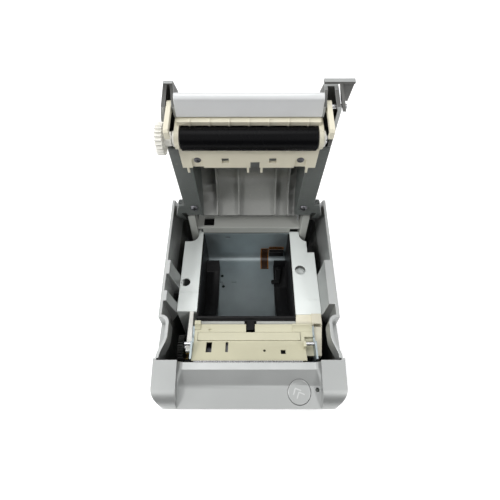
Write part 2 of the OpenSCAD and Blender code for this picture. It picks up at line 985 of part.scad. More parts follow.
module right_end_block() {
    color(cream)
        difference() {
            union() {
                block([well_r, cover_rear_y, deck_z - 14], [cover_r + 1, right_front_y, deck_z - 1]);
                block(
                    [cover_r + 0.5, cover_rear_y + 0.5, deck_z - 14],
                    [deck_out - 1, right_front_y, deck_z + 1.5]
                );
                translate([0, 0, deck_z - 14])
                    linear_extrude(14)
                        polygon([
                            [cover_r + frame_t, cover_rear_y + 1],
                            [deck_out - 1, cover_rear_y + 1],
                            [deck_out - 1, platen_y + 9],
                            [deck_out - 4, cover_front_y + 6],
                            [cover_r + frame_t, cover_front_y + 6]
                        ]);
            }
            block([cover_r + 2, cover_rear_y - 0.8, deck_z - 8], [deck_out - 2, cover_rear_y + 1.4, top_z]);
        }
}

tear_l = -rubber_x - 0.5;
tear_r = rubber_x - 1.5;
tear_t = 0.8;
tear_h = 1;

module tear_bar() {
    teeth = floor((tear_r - tear_l) / tear_pitch);
    color(steel)
        along_y(cover_front_y - tear_t, cover_front_y)
            polygon(concat(
                [[tear_r, cover_low_z], [tear_l, cover_low_z]],
                [for (i = [0:2 * teeth])
                    [tear_l + i * tear_pitch / 2, cover_front_z + (i % 2 == 0 ? 0 : tear_h)]],
                [[tear_r, cover_front_z]]
            ));
}

module catch_studs() {
    color(steel) {
        bar_x(-hook_out - 0.6, cover_l - frame_t, stud_r, stud_y, stud_z);
        bar_x(bay_in, cover_r, stud_r, stud_y, stud_z);
    }
}

module feed_motor() {
    color(dark_grey)
        difference() {
            union() {
                bar_x(cover_l, cover_l + motor_l, motor_r, motor_y, motor_z);
                block(
                    [cover_l, motor_y - 4, motor_z - motor_r - 4.5],
                    [cover_l + frame_t, motor_y + 4, motor_z]
                );
            }
            bar_x(cover_l - 1, cover_l + 8, motor_shaft_r + run_gap, motor_y, motor_z);
        }
}

module idler_stud() {
    color(steel) {
        bar_x(-gear_in_x + 0.3, cover_l - frame_t, stud_axle_r + 1, idler_y, idler_z);
        bar_x(-gear_out_x - 1, cover_l, stud_axle_r, idler_y, idler_z);
    }
}

module head_leaf_spring() {
    color(steel)
        across(-rubber_x + 13.5, rubber_x - 13.5)
            polygon([
                [cover_front_y + 1 + frame_t, cover_low_z - 14],
                [cover_front_y + 1 + frame_t, cover_low_z],
                [cover_front_y + 1.6 + frame_t, cover_low_z],
                [head_back[0] - 0.4, head_back[1] + 0.5],
                [head_back[0], head_back[1]],
                [cover_front_y + 2.1 + frame_t, cover_low_z - 0.6],
                [cover_front_y + 1.6 + frame_t, cover_low_z - 14]
            ]);
}

// Involute of a circle at a pressure angle, in degrees
function involute(a) = tan(a) * 180 / PI - a;

// Half-width of a tooth at a radius, in degrees
function tooth_half(r, base_r, teeth) =
    90 / teeth - gear_play / 2 + involute(20) - involute(acos(min(1, base_r / r)));

function tooth_radii(rp) = [
    rp - 1.15 * gear_m,
    rp * cos(20),
    rp + 0.1 * gear_m,
    rp + 0.55 * gear_m,
    rp + 0.95 * gear_m
];

// Outline of a spur gear whose first tooth points along the first axis
module gear_outline(teeth) {
    rp = gear_m * teeth / 2;
    radii = tooth_radii(rp);
    flank = [for (r = radii) [r, tooth_half(r, rp * cos(20), teeth)]];
    polygon([
        for (i = [0:teeth - 1])
            let (a = i * 360 / teeth)
                for (p = concat(
                    [for (f = flank) [f[0], a - f[1]]],
                    [for (f = reversed(flank)) [f[0], a + f[1]]]
                ))
                    [p[0] * cos(p[1]), p[0] * sin(p[1])]
    ]);
}

tooth_a = 360 / wheel_teeth;
idler_turn = link_a + 180 + tooth_a / 2;
drive_lag = drive_a - idler_turn - tooth_a * floor((drive_a - idler_turn) / tooth_a);
pinion_turn = drive_a + 180 + drive_lag * wheel_teeth / pinion_teeth + 180 / pinion_teeth;

module idler_gear() {
    color(black)
        difference() {
            union() {
                across(-gear_out_x, -gear_in_x)
                    translate([idler_y, idler_z])
                        rotate(idler_turn)
                            gear_outline(wheel_teeth);
                bar_x(-gear_out_x - 0.6, -gear_in_x, 4, idler_y, idler_z);
            }
            bar_x(-gear_out_x - 2, -gear_in_x + 1, stud_axle_r + run_gap, idler_y, idler_z);
            for (a = [0:60:300])
                bar_x(
                    -gear_out_x - 1, -gear_in_x + 1, 1.4,
                    idler_y + 6.2 * cos(a), idler_z + 6.2 * sin(a)
                );
        }
}

module motor_pinion() {
    color(brass)
        difference() {
            union() {
                across(-gear_out_x, -gear_in_x + 1.5)
                    translate([motor_y, motor_z])
                        rotate(pinion_turn)
                            gear_outline(pinion_teeth);
                bar_x(-gear_in_x + 1.5, cover_l - 3, 3, motor_y, motor_z);
            }
            bar_x(-gear_out_x - 1, cover_l, motor_shaft_r, motor_y, motor_z);
        }
}

module motor_shaft() {
    color(steel)
        bar_x(-gear_out_x, cover_l + 7, motor_shaft_r, motor_y, motor_z);
}

module thermal_head() {
    color("#a8a48f") {
        across(-head_x, head_x)
            polygon(head_points(0));
        bar_x(cover_l - frame_t + 0.2, cover_r + frame_t - 0.2, rod_r, head_pivot[0], head_pivot[1]);
    }
}

module main_board() {
    board_x = post_in - 5.5;
    color(green) {
        block([-board_x, deck_front_y, main_z], [board_x, panel_y - 0.3, main_z + board_t]);
        for (x = [-board_x + 5, board_x - 5], y = [deck_front_y + 5, panel_y - 30])
            translate([x, y, floor_z])
                cylinder(h = main_z - floor_z + eps, r = 3);
        block([-12, roll_y - 17, socket_z - eps], [12, roll_y + 7, socket_z + 2]);
        block([board_x - 25, roll_y - 15, socket_z - eps], [board_x - 11, roll_y - 1, socket_z + 3]);
        for (x = [-board_x + 11, -board_x + 21])
            translate([x, roll_y - 5, socket_z - eps])
                cylinder(h = 14, r = 4);
    }
}

// A box-shaped socket with a mouth towards the rear
module socket(x, w, h, mouth_w, mouth_h, depth, out) {
    difference() {
        block([x - w / 2, panel_y - depth, socket_z], [x + w / 2, panel_y + panel_t + out, socket_z + h]);
        block(
            [x - mouth_w / 2, panel_y - depth + 4, socket_z + (h - mouth_h) / 2],
            [x + mouth_w / 2, panel_y + panel_t + out + 1, socket_z + (h + mouth_h) / 2]
        );
    }
}

// Sockets in a row
serial_w = 24;
usb_w = 12;
drawer_w = 15;
inlet_w = 14;
switch_w = 16;
socket_gap = (2 * rear_win_x - serial_w - usb_w - drawer_w - inlet_w - switch_w) / 7;
serial_x = 1.5 * socket_gap + serial_w / 2 - rear_win_x;
usb_x = serial_x + (serial_w + usb_w) / 2 + socket_gap;
drawer_x = usb_x + (usb_w + drawer_w) / 2 + socket_gap;
inlet_x = drawer_x + (drawer_w + inlet_w) / 2 + socket_gap;
rocker_x = inlet_x + (inlet_w + switch_w) / 2 + socket_gap;
inlet_r = 6.5;

module usb_socket() {
    color(steel)
        socket(usb_x, usb_w, 11, 8.6, 7.8, 16, 2);
}

module drawer_socket() {
    color(black)
        socket(drawer_x, drawer_w, 14, 11.8, 8, 18, 2);
}

module serial_socket() {
    color(steel) {
        block([serial_x - 12, panel_y - 10, socket_z], [serial_x + 12, panel_y, socket_z + 12.5]);
        block(
            [serial_x - 9, panel_y - 1, socket_z + 2.2],
            [serial_x + 9, panel_y + panel_t + 5, socket_z + 10.3]
        );
    }
}

module power_inlet() {
    color(black)
        difference() {
            union() {
                block([inlet_x - 7, panel_y - 13, socket_z], [inlet_x + 7, panel_y, socket_z + 14]);
                translate([inlet_x, panel_y - 1, socket_z + 7])
                    rotate([-90, 0, 0])
                        cylinder(h = panel_t + 2, r = inlet_r);
            }
            translate([inlet_x, panel_y - 8, socket_z + 7])
                rotate([-90, 0, 0])
                    cylinder(h = 12, r = inlet_r - 1.5);
        }
}

rocker_y = panel_y - 1;
rocker_half = 4.5;

module switch_body() {
    color(black)
        difference() {
            union() {
                block(
                    [rocker_x - 7, panel_y - 15, rocker_z - 10.5],
                    [rocker_x + 7, panel_y, rocker_z + 10.5]
                );
                block(
                    [rocker_x - 7, panel_y - 1, rocker_z - 10],
                    [rocker_x + 7, panel_y + panel_t, rocker_z + 10]
                );
                block(
                    [rocker_x - 8, panel_y + panel_t, rocker_z - 12],
                    [rocker_x + 8, panel_y + panel_t + 1.2, rocker_z + 12]
                );
            }
            block(
                [rocker_x - rocker_half - 0.4, panel_y - 9, rocker_z - 8.6],
                [rocker_x + rocker_half + 0.4, panel_y + 10, rocker_z + 8.6]
            );
            bar_x(rocker_x - 6.5, rocker_x + 6.5, rod_r + run_gap, rocker_y, rocker_z);
        }
}

module power_rocker() {
    color(black) {
        bar_x(rocker_x - 6, rocker_x + 6, rod_r, rocker_y, rocker_z);
        translate([0, rocker_y, rocker_z])
            rotate([8, 0, 0])
                translate([0, -rocker_y, -rocker_z])
                    across(rocker_x - rocker_half, rocker_x + rocker_half)
                        polygon([
                            [rocker_y - 3, rocker_z - 4],
                            [rocker_y + 4.6, rocker_z - 7.6],
                            [rocker_y + 4, rocker_z],
                            [rocker_y + 4.6, rocker_z + 7.6],
                            [rocker_y - 3, rocker_z + 4]
                        ]);
    }
}

module rear_panel() {
    color(steel)
        difference() {
            block([-rear_win_x - 4, panel_y, floor_z], [rear_win_x + 4, panel_y + panel_t, rear_win_hi + 3]);
            block([usb_x - 6, panel_y - 1, socket_z], [usb_x + 6, panel_y + 5, socket_z + 11]);
            block([drawer_x - 7.5, panel_y - 1, socket_z], [drawer_x + 7.5, panel_y + 5, socket_z + 14]);
            block([serial_x - 9, panel_y - 1, socket_z + 2.2], [serial_x + 9, panel_y + 5, socket_z + 10.3]);
            translate([inlet_x, panel_y - 1, socket_z + 7])
                rotate([-90, 0, 0])
                    cylinder(h = 5, r = inlet_r);
            block([rocker_x - 7, panel_y - 1, rocker_z - 10], [rocker_x + 7, panel_y + 5, rocker_z + 10]);
        }
}

module front_board() {
    color(green)
        block(
            [-button_x - button_r - 8, scoop_bend_y - 10, board_low_z],
            [button_x + button_r + 8, scoop_bend_y + 7, board_low_z + board_t]
        );
}

button_low_z = scoop_low_z - button_h;
switch_h = button_low_z - button_travel - 0.2 - board_low_z - board_t;

module feed_switch() {
    color(black) {
        block(
            [button_x - 3, button_y - 3, board_low_z + board_t],
            [button_x + 3, button_y + 3, board_low_z + board_t + switch_h - 1]
        );
        translate([button_x, button_y, board_low_z + board_t])
            cylinder(h = switch_h, r = 1.6);
    }
}

// The button's top follows the scoop's slope and shelf, a little proud of it
module feed_button() {
    color(silver)
        intersection() {
            translate([button_x, button_y, button_low_z])
                cylinder(h = 30, r = button_r);
            difference() {
                block([0, front_y, 0], [half_w, pillar_y, deck_z + 30]);
                across(-1, half_w + 1)
                    polygon(scoop_points(-0.4));
            }
        }
}

module status_lamp() {
    color("#2a3a2e")
        translate([lamp_x, lamp_y, board_low_z + board_t])
            cylinder(h = scoop_low_z - wall - board_low_z - board_t, r = lamp_r - 0.1);
}

// Height of the lid's top over a place along it, for the shut lid
function lid_top(y) =
    let (t = (y - lid_front_y) / (hinge_y - lid_front_y))
        lid_front_z + (hinge_z + lid_r - lid_front_z) * t + 4 * lid_crown * t * (1 - t);

function lid_top_points(d, y0, y1) =
    [for (i = [0:lid_steps]) let (y = y0 + (y1 - y0) * i / lid_steps) [y, lid_top(y) - d]];

// Side view of the lid's skin, from the front edge round the rear
function skin_points() = concat(
    lid_top_points(0, lid_front_y, hinge_y),
    arc([hinge_y, hinge_z], lid_r, 90 - 7, lid_rear_a, 9),
    arc([hinge_y, hinge_z], lid_r - wall, lid_rear_a, 90 - 7, 9),
    reversed(lid_top_points(wall, lid_front_y, hinge_y))
);

// Side view of the lid's skirts
function skirt_points() = concat(
    [[skirt_rear_y, liner_z + skin], [skirt_step_y, liner_z + skin], [skirt_step_y - 5, skirt_front_z]],
    [[latch_y - 3, skirt_front_z]],
    lid_top_points(0.5, lid_front_y, skirt_rear_y)
);

module shaft_holes(r) {
    bar_x(-lid_x - 8, lid_x + 8, r, latch_y, latch_z);
}

boss_x = hood_x - 5;
boss_y = platen_y + 22;
leg_y = hinge_y + (spring_r + wire_d / 2) * cos(lid_angle);
leg_z = hinge_z + (spring_r + wire_d / 2) * sin(lid_angle) - 0.02;

// Front view of the lid's outer form, drawn in by d: its sides lean outwards to the top
function lid_section(d) =
    let (low_x = lid_x - d - lid_flare * liner_z, high_x = low_x + lid_flare * top_z)
        [[-low_x, 0], [low_x, 0], [high_x, top_z], [-high_x, top_z]];

// Plan of the lid's outer form, drawn in by d: the left side tapers, the right one steps in
function lid_plan(d) = [
    [half_w, rear_y + 30],
    [half_w, ear_rear_y],
    [ear_side_x - d, ear_rear_y],
    [ear_tip_x - d, lid_front_y - 1],
    [d - ear_tip_x + 1.8, lid_front_y - 1],
    [d - left_side_x, ear_rear_y - 5],
    [d - left_side_x, ear_rear_y + 8],
    [d - lid_top_x, roll_y - 15],
    [d - half_w, rear_y + 30]
];

module lid_form(d) {
    intersection() {
        along_y(lid_front_y - 1, rear_y + 20)
            polygon(lid_section(d));
        linear_extrude(top_z)
            polygon(lid_plan(d));
    }
}

// Plan of the right ear's inner wall, moved outwards by d
function ear_inner(d) = [
    [ear_x + d, notch_y + 2],
    [ear_x + d, lid_front_y + 9],
    [ear_x + ear_taper + d, lid_front_y - 2]
];

// The liner's flange, which passes under the lid's skirt to the hinge lug
module flange() {
    translate([0, 0, liner_z])
        linear_extrude(skin)
            polygon([
                [hood_x, hinge_y - 31],
                [lug_in + 0.4, hinge_y - 31],
                [lug_out - 2, skirt_rear_y - 3],
                [hood_x, skirt_rear_y - 3]
            ]);
}

module lid_cover() {
    color(silver)
        opened()
            difference() {
                union() {
                    intersection() {
                        lid_form(0);
                        across(-half_w, half_w)
                            polygon(skin_points());
                    }
                    difference() {
                        intersection() {
                            lid_form(0);
                            across(-half_w, half_w)
                                polygon(skirt_points());
                        }
                        lid_form(wall);
                    }
                    block(
                        [spring_x - spring_leg, leg_y - 1.2, leg_z],
                        [spring_x - spring_leg + 4, leg_y + 1.2, hinge_z + lid_r - wall / 2]
                    );
                    both_sides() {
                        intersection() {
                            across(ear_x, lid_x)
                                polygon(concat(
                                    [[notch_y + 2, skirt_front_z], [latch_y - 3, skirt_front_z]],
                                    lid_top_points(0.5, lid_front_y, notch_y + 2)
                                ));
                            linear_extrude(top_z)
                                polygon(concat(ear_inner(0), reversed(ear_inner(skin))));
                        }
                        translate([boss_x, boss_y, liner_z])
                            cylinder(h = lid_top(boss_y) - wall / 2 - liner_z, r = 3.5);
                    }
                }
                difference() {
                    linear_extrude(top_z)
                        polygon(concat(ear_inner(0), [for (p = reversed(ear_inner(0))) [-p[0], p[1]]]));
                    block([-half_w, notch_y, 0], [half_w, rear_y, top_z]);
                }
                block([ear_x - 1, lid_front_y - 2, 0], [half_w, lid_front_y + 2.4, top_z]);
                shaft_holes(latch_r + run_gap);
            }
}

// Side view of the hood, a shell over the paper roll
module hood_side(r0, r1) {
    polygon(concat(
        arc([roll_y, hood_z], r1, hood_rear_a, hood_front_a, 20),
        arc([roll_y, hood_z], r0, hood_front_a, hood_rear_a, 20)
    ));
}

rib_x = [for (k = [-0.683, -0.217, 0.563, 0.839]) k * hood_x];
rib_t = 1.2;
rib_deep = 6;
rib_a = 47;

module roll_hood() {
    color(mid_grey)
        opened() {
            across(-hood_x, hood_x)
                hood_side(hood_r, hood_r + skin);
            for (x = rib_x)
                across(x - rib_t / 2, x + rib_t / 2)
                    difference() {
                        hood_side(hood_r - rib_deep, hood_r + eps);
                        translate([roll_y - rib_deep * cos(rib_a), hood_z - rib_deep * sin(rib_a)])
                            circle(hood_r, $fn = 96);
                    }
        }
}

module lug() {
    difference() {
        union() {
            flange();
            across(lug_in, lug_out)
                polygon([
                    [hinge_y - 31, liner_z],
                    [skirt_rear_y - 3, liner_z],
                    [hinge_y + 4, hinge_z - lug_r + 1],
                    [hinge_y - 4, hinge_z + lug_r - 1.2],
                    [skirt_rear_y + 0.4, liner_z + 10.5],
                    [hinge_y - 31, liner_z + 4]
                ]);
            bar_x(lug_in, lug_out, lug_r, hinge_y, hinge_z);
        }
        bar_x(lug_in - 1, lug_out + 1, pin_r + run_gap, hinge_y, hinge_z);
        linear_extrude(top_z)
            polygon([
                [lug_out + 1, hinge_y - 32],
                [lug_in + 0.4, hinge_y - 32],
                [lug_in + 0.4, hinge_y - 31],
                [lug_out, hinge_y - 10],
                [lug_out + 1, hinge_y - 10]
            ]);
    }
}

module lid_liner() {
    color(dark_grey)
        opened()
            both_sides() {
                block([hood_x, skirt_step_y, liner_z], [lid_x, skirt_rear_y, liner_z + skin]);
                across(hood_x, hood_x + skin)
                    polygon(concat(
                        [[skirt_rear_y, liner_z], [platen_y + 31, liner_z]],
                        reversed(arc([roll_y, hood_z], hood_r + skin, hood_rear_a, hood_front_a, 20))
                    ));
                lug();
            }
}

module front_lip() {
    color("#b7babb")
        opened()
            across(-ear_x, ear_x)
                polygon([
                    [notch_y, lid_top(notch_y) - 1],
                    [lid_front_y - 0.5, platen_z + 14.5],
                    [lid_front_y - 0.8, platen_z + 13.5],
                    [lid_front_y - 0.5, platen_z + 10.4],
                    [latch_y + 1.5, platen_z + 7.3],
                    [latch_y + 2.2, platen_z + 9],
                    [lid_front_y + 2, platen_z + 11.8],
                    [lid_front_y + 2, platen_z + 13.6],
                    [notch_y, lid_top(notch_y) - wall - 1]
                ]);
}

beam_front_y = platen_y - 9.8;
beam_rear_y = platen_y - 6.8;
beam_low_z = platen_z + 4.5;
web_z = platen_z + 12;
plate_rear_y = platen_y + 29;
plate_front_y = platen_y + rubber_r + 1.5;
prong_x = [for (k = [-1, -0.016, 0.207, 0.952]) k * rubber_x];
rib_pitch = rubber_l / 7;
window_x = 0.38 * rubber_x;
beam_x = ear_x - 0.2;

module platen_frame() {
    color(cream)
        opened()
            difference() {
                union() {
                    block([-cheek_out, plate_front_y, platen_z], [cheek_out, plate_rear_y, liner_z]);
                    block([-cheek_out, plate_front_y, platen_z], [cheek_out, plate_front_y + skin, web_z]);
                    block([-beam_x, beam_front_y, web_z], [beam_x, plate_front_y + skin, web_z + skin]);
                    block([-beam_x, beam_front_y, beam_low_z], [beam_x, beam_rear_y, web_z + skin]);
                    for (i = [-3:3])
                        block(
                            [i * rib_pitch - 0.5, beam_front_y - 0.6, beam_low_z - 0.6],
                            [i * rib_pitch + 0.5, beam_rear_y, beam_low_z + 3]
                        );
                    for (x = prong_x)
                        translate([x - 0.8, plate_rear_y - 1, platen_z])
                            cube([1.6, 6.5, 2]);
                    both_sides()
                        across(cheek_in, cheek_out)
                            union() {
                                translate([platen_y, platen_z])
                                    circle(bush_r + 1.5);
                                translate([beam_rear_y, platen_z])
                                    square([plate_front_y + 1 - beam_rear_y, web_z - platen_z + 1]);
                            }
                }
                both_sides() {
                    bar_x(cheek_in - 1, cheek_out + 1, bush_r, platen_y, platen_z);
                    translate([boss_x, boss_y, platen_z - 1])
                        cylinder(h = 2.2, r = 4);
                    block([boss_x - 4, boss_y, platen_z - 1], [boss_x + 4, plate_rear_y + 1, platen_z + 1.2]);
                    block([window_x - 2.5, boss_y - 3, 0], [window_x + 2.5, boss_y + 2, liner_z + 1]);
                }
                block([1, plate_rear_y - 6, platen_z - 1], [7.5, plate_rear_y + 1, liner_z + 1]);
            }
}

module platen_bushes() {
    color(white)
        opened()
            both_sides()
                difference() {
                    bar_x(cheek_in, cheek_out + 1.5, bush_r, platen_y, platen_z);
                    bar_x(cheek_in - 1, cheek_out + 3, shaft_r + run_gap, platen_y, platen_z);
                }
}

module lid_screws() {
    color(steel)
        opened()
            both_sides() {
                translate([(hood_x + lid_x - wall) / 2, hinge_y - 28, liner_z])
                    intersection() {
                        translate([0, 0, 1.2])
                            sphere(3.6);
                        translate([0, 0, -4])
                            cylinder(h = 4, r = 3.2);
                    }
                translate([boss_x, boss_y, platen_z + 0.3])
                    cylinder(h = 0.9, r = 2.6);
            }
}

module platen_rubber() {
    color(black)
        opened()
            difference() {
                bar_x(-rubber_x, rubber_x, rubber_r, platen_y, platen_z);
                bar_x(-rubber_x - 1, rubber_x + 1, shaft_r, platen_y, platen_z);
            }
}

module platen_shaft() {
    color(steel)
        opened()
            bar_x(-gear_out_x - 0.8, cheek_out + 2.5, shaft_r, platen_y, platen_z);
}

module platen_gear() {
    color(white)
        opened()
            difference() {
                union() {
                    across(-gear_out_x, -gear_in_x)
                        translate([platen_y, platen_z])
                            rotate(link_a)
                                gear_outline(wheel_teeth);
                    bar_x(-gear_in_x, -cheek_out - 2.2, 4.5, platen_y, platen_z);
                }
                bar_x(-gear_out_x - 1, -cheek_out, shaft_r, platen_y, platen_z);
            }
}

module latch_shaft() {
    color(steel)
        opened()
            bar_x(-hook_out - 3.8, lever_l + web_t + 0.6, latch_r, latch_y, latch_z);
}

nose_low_z = stud_z - stud_r - hook_gap - 2.5;

// One hook on the right: an arm in front of the catch stud, with a nose under it
module hook() {
    difference() {
        union() {
            bar_x(hook_in, hook_out, 3.6, latch_y, latch_z);
            across(hook_in, hook_out)
                polygon([
                    [latch_y - 3, latch_z],
                    [latch_y - 3, nose_low_z + 1.5],
                    [latch_y - 1.5, nose_low_z],
                    [stud_y + 1.2, nose_low_z],
                    [stud_y + 1.2, nose_low_z + 2.5],
                    [stud_y - stud_r - 0.7, nose_low_z + 2.5],
                    [stud_y - stud_r - 0.7, latch_z - 6],
                    [latch_y + 3, latch_z]
                ]);
        }
        bar_x(hook_in - 1, hook_out + 1, latch_r, latch_y, latch_z);
    }
}

module latch_hooks() {
    color(cream)
        opened()
            both_sides()
                hook();
}

wing_slope = atan2(lid_top(lid_front_y + 18) - lid_top(lid_front_y), 18);
wing_t = 2;
wing_gap = 1;
wing_rear = 17;
flange_h = 3.4;
web_t = 2;
ear_lean = (ear_side_x - ear_tip_x) / (ear_rear_y - lid_front_y + 1);
lever_l = ear_tip_x + ear_lean * (latch_y - lid_front_y + 1) + wing_gap;

// The lever's web, which stands beside the ear
module lever_web() {
    intersection() {
        across(ear_x, half_w)
            polygon([
                [lid_front_y - 0.4, lid_front_z - flange_h],
                [latch_y - 3.4, latch_z - 1],
                [latch_y, latch_z - 3.8],
                [latch_y + 3.4, latch_z - 1],
                [lid_front_y + wing_rear - 1, lid_top(lid_front_y + wing_rear) - 1.8],
                [lid_front_y - 0.4, lid_front_z - 1]
            ]);
        linear_extrude(top_z)
            polygon([
                [ear_tip_x + wing_gap, lid_front_y - 1],
                [ear_tip_x + wing_gap + web_t, lid_front_y - 1],
                [ear_side_x + wing_gap + web_t, ear_rear_y],
                [ear_side_x + wing_gap, ear_rear_y]
            ]);
    }
}

// The lever fills the corner beside the right ear, and its flange runs on in front of the ear
module release_lever() {
    color(silver)
        opened()
            difference() {
                union() {
                    translate([0, lid_front_y, lid_front_z])
                        rotate([wing_slope, 0, 0])
                            translate([0, 0, -wing_t])
                                linear_extrude(wing_t)
                                    polygon([
                                        [ear_tip_x + wing_gap, -1.6],
                                        [lid_top_x + 0.5, -1.6],
                                        [lid_top_x + 0.5, wing_rear],
                                        [ear_side_x - 1.2 + wing_gap, wing_rear],
                                        [ear_tip_x + wing_gap, -1]
                                    ]);
                    block(
                        [ear_x + 0.4, lid_front_y - 1.8, lid_front_z - flange_h],
                        [lid_top_x + 0.5, lid_front_y - 0.2, lid_front_z - 0.3]
                    );
                    lever_web();
                }
                bar_x(lever_l - 3, lever_l + web_t + 3, latch_r, latch_y, latch_z);
            }
}

// The lid spring: legs and turns as one wire
turn_rings = 8;
spring_pts = concat(
    [[spring_x - spring_leg, spring_r, 0]],
    [[spring_x - 1.6, spring_r, 0]],
    [for (i = [0:(spring_turns + 0.5) * turn_rings])
        let (a = 360 * i / turn_rings)
            [spring_x + spring_pitch * i / turn_rings, spring_r * cos(a), spring_r * sin(a)]],
    [[spring_x + spring_pitch * (spring_turns + 0.5) + 0.3, -spring_r, -foot_leg]]
);
wire_sides = 6;

function unit(v) = v / norm(v);

// Direction of a wire at one of its points
function along(pts, i) =
    unit(pts[min(i + 1, len(pts) - 1)] - pts[max(i - 1, 0)]);

// A ring of points round a wire, with the hinge axis as its reference
function wire_ring(pts, i, r) =
    let (
        d = along(pts, i),
        out = unit([0, pts[i][1], pts[i][2]]),
        u = unit(out - (out * d) * d),
        v = cross(d, u)
    )
        [for (k = [0:wire_sides - 1])
            let (a = 360 * k / wire_sides) pts[i] + r * (cos(a) * u + sin(a) * v)];

module wire(pts, r) {
    rings = len(pts);
    points = [for (i = [0:rings - 1]) each wire_ring(pts, i, r)];
    sides = [for (i = [0:rings - 2], k = [0:wire_sides - 1])
        let (a = i * wire_sides + k, b = i * wire_sides + (k + 1) % wire_sides)
            each [[a, a + wire_sides, b], [b, a + wire_sides, b + wire_sides]]];
    first = [for (k = [1:wire_sides - 2]) [0, k, k + 1]];
    e = (rings - 1) * wire_sides;
    last = [for (k = [1:wire_sides - 2]) [e, e + k + 1, e + k]];
    polyhedron(points, concat(sides, first, last), convexity = 8);
}

// Least gap between one turn of the spring and the next
spring_gap = min([for (i = [2:len(spring_pts) - 2 - turn_rings])
    norm(spring_pts[i + turn_rings] - spring_pts[i])]) - wire_d;
echo(spring_gap = spring_gap);

module torsion_spring() {
    color(steel)
        translate([0, hinge_y, hinge_z])
            wire(spring_pts, wire_d / 2);
}

base_casing();
front_bezel();
bottom_plate();
rubber_feet();
left_deck();
right_deck();
paper_tray();
left_roll_guide();
right_roll_guide();
roll_crossbar();
guide_strip();
rear_bridge();
left_hinge_post();
right_hinge_post();
hinge_pins();
mechanism_frame();
mechanism_cover();
right_end_block();
tear_bar();
catch_studs();
feed_motor();
idler_stud();
head_leaf_spring();
near_end_sensor();
sensor_flex();
gear_guard();
main_board();
rear_panel();
usb_socket();
drawer_socket();
serial_socket();
power_inlet();
switch_body();
front_board();
feed_switch();
status_lamp();
base_screws();
feed_button();
power_rocker();
idler_gear();
motor_pinion();
motor_shaft();
thermal_head();
paper_flag();
near_end_lever();
lid_cover();
lid_liner();
roll_hood();
front_lip();
platen_frame();
platen_bushes();
lid_screws();
torsion_spring();
platen_rubber();
platen_shaft();
platen_gear();
latch_shaft();
latch_hooks();
release_lever();
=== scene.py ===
# %% [markdown]
# # A receipt printer with its lid open
# The solids of the printer come from a CAD pack. This lesson dresses them: every moulding gets the small
# rounded edges that a mould leaves, every finish gets a procedural material, and a few pieces that follow a
# path or repeat, such as the lid spring, the screw heads and the socket pins, are made with Geometry Nodes.
# All lengths are in metres, in the CAD frame: X to the right, Y to the rear, Z up, the floor at Z = 0.

import json
import math

import bmesh
import bpy
from mathutils import Matrix, Vector
from mathutils.bvhtree import BVHTree


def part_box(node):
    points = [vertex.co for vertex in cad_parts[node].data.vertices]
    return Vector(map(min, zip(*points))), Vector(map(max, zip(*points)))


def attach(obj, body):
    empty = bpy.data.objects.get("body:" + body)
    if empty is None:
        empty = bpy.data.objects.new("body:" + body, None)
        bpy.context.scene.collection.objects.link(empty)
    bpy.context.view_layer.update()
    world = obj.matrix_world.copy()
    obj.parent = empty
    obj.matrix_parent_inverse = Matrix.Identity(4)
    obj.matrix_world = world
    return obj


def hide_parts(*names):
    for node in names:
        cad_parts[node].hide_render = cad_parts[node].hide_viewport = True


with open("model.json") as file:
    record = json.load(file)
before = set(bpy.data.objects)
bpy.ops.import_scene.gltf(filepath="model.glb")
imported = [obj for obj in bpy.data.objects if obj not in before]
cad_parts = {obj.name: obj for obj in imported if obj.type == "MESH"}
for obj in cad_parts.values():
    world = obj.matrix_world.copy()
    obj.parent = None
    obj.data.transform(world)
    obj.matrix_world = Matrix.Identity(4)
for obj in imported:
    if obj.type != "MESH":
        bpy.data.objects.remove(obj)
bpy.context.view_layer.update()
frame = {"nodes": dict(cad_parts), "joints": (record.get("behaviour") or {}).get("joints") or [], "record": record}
MM = 0.001

# %% [markdown]
# ## Camera
# The picture was taken from the front, well above the printer and close to it, so near parts look large.
# The camera's height, tilt and focal length were worked out from the roller, the lid and the base. A real
# lens is fixed by its focal length on a sensor, so that is how Blender is told, for a square picture.

# %% Camera
CAMERA_AT = Vector((0, -148.15, 387)) * MM
LOOK_DOWN = 56
LENS_MM, SENSOR_MM = 25.92, 36
PICTURE_SHIFT = 0.002
NEAREST = 0.01

camera_data = bpy.data.cameras.new("camera")
camera_data.lens = LENS_MM
camera_data.sensor_width = SENSOR_MM
camera_data.shift_x = PICTURE_SHIFT
camera_data.clip_start = NEAREST
camera = bpy.data.objects.new("camera", camera_data)
camera.location = CAMERA_AT
camera.rotation_euler = (math.radians(90 - LOOK_DOWN), 0, 0)
scene = bpy.context.scene
scene.collection.objects.link(camera)
scene.camera = camera
print("camera", [round(v, 3) for v in camera.location])

# %% [markdown]
# ## Sky
# The printer stands on white paper in a bright room, and the light comes mostly from overhead. A sky of one
# strength would light every slope alike, so this one is brighter at the top than at the horizon. The
# background could be made white with more light, but that would burn out the pale decks. So the sky turns
# plain white only for the camera and for what the shiny pieces mirror.


# %% Sky
def node(tree, kind, **values):
    made = tree.nodes.new(kind)
    for key, value in values.items():
        setattr(made, key, value)
    return made


def linked(a, b):
    b.id_data.links.new(a, b)


def spread(value, low, high, from_low=0.3, from_high=0.7):
    ranged = node(value.id_data, "ShaderNodeMapRange")
    ranged.inputs["From Min"].default_value = from_low
    ranged.inputs["From Max"].default_value = from_high
    ranged.inputs["To Min"].default_value = low
    ranged.inputs["To Max"].default_value = high
    linked(value, ranged.inputs["Value"])
    return ranged.outputs["Result"]


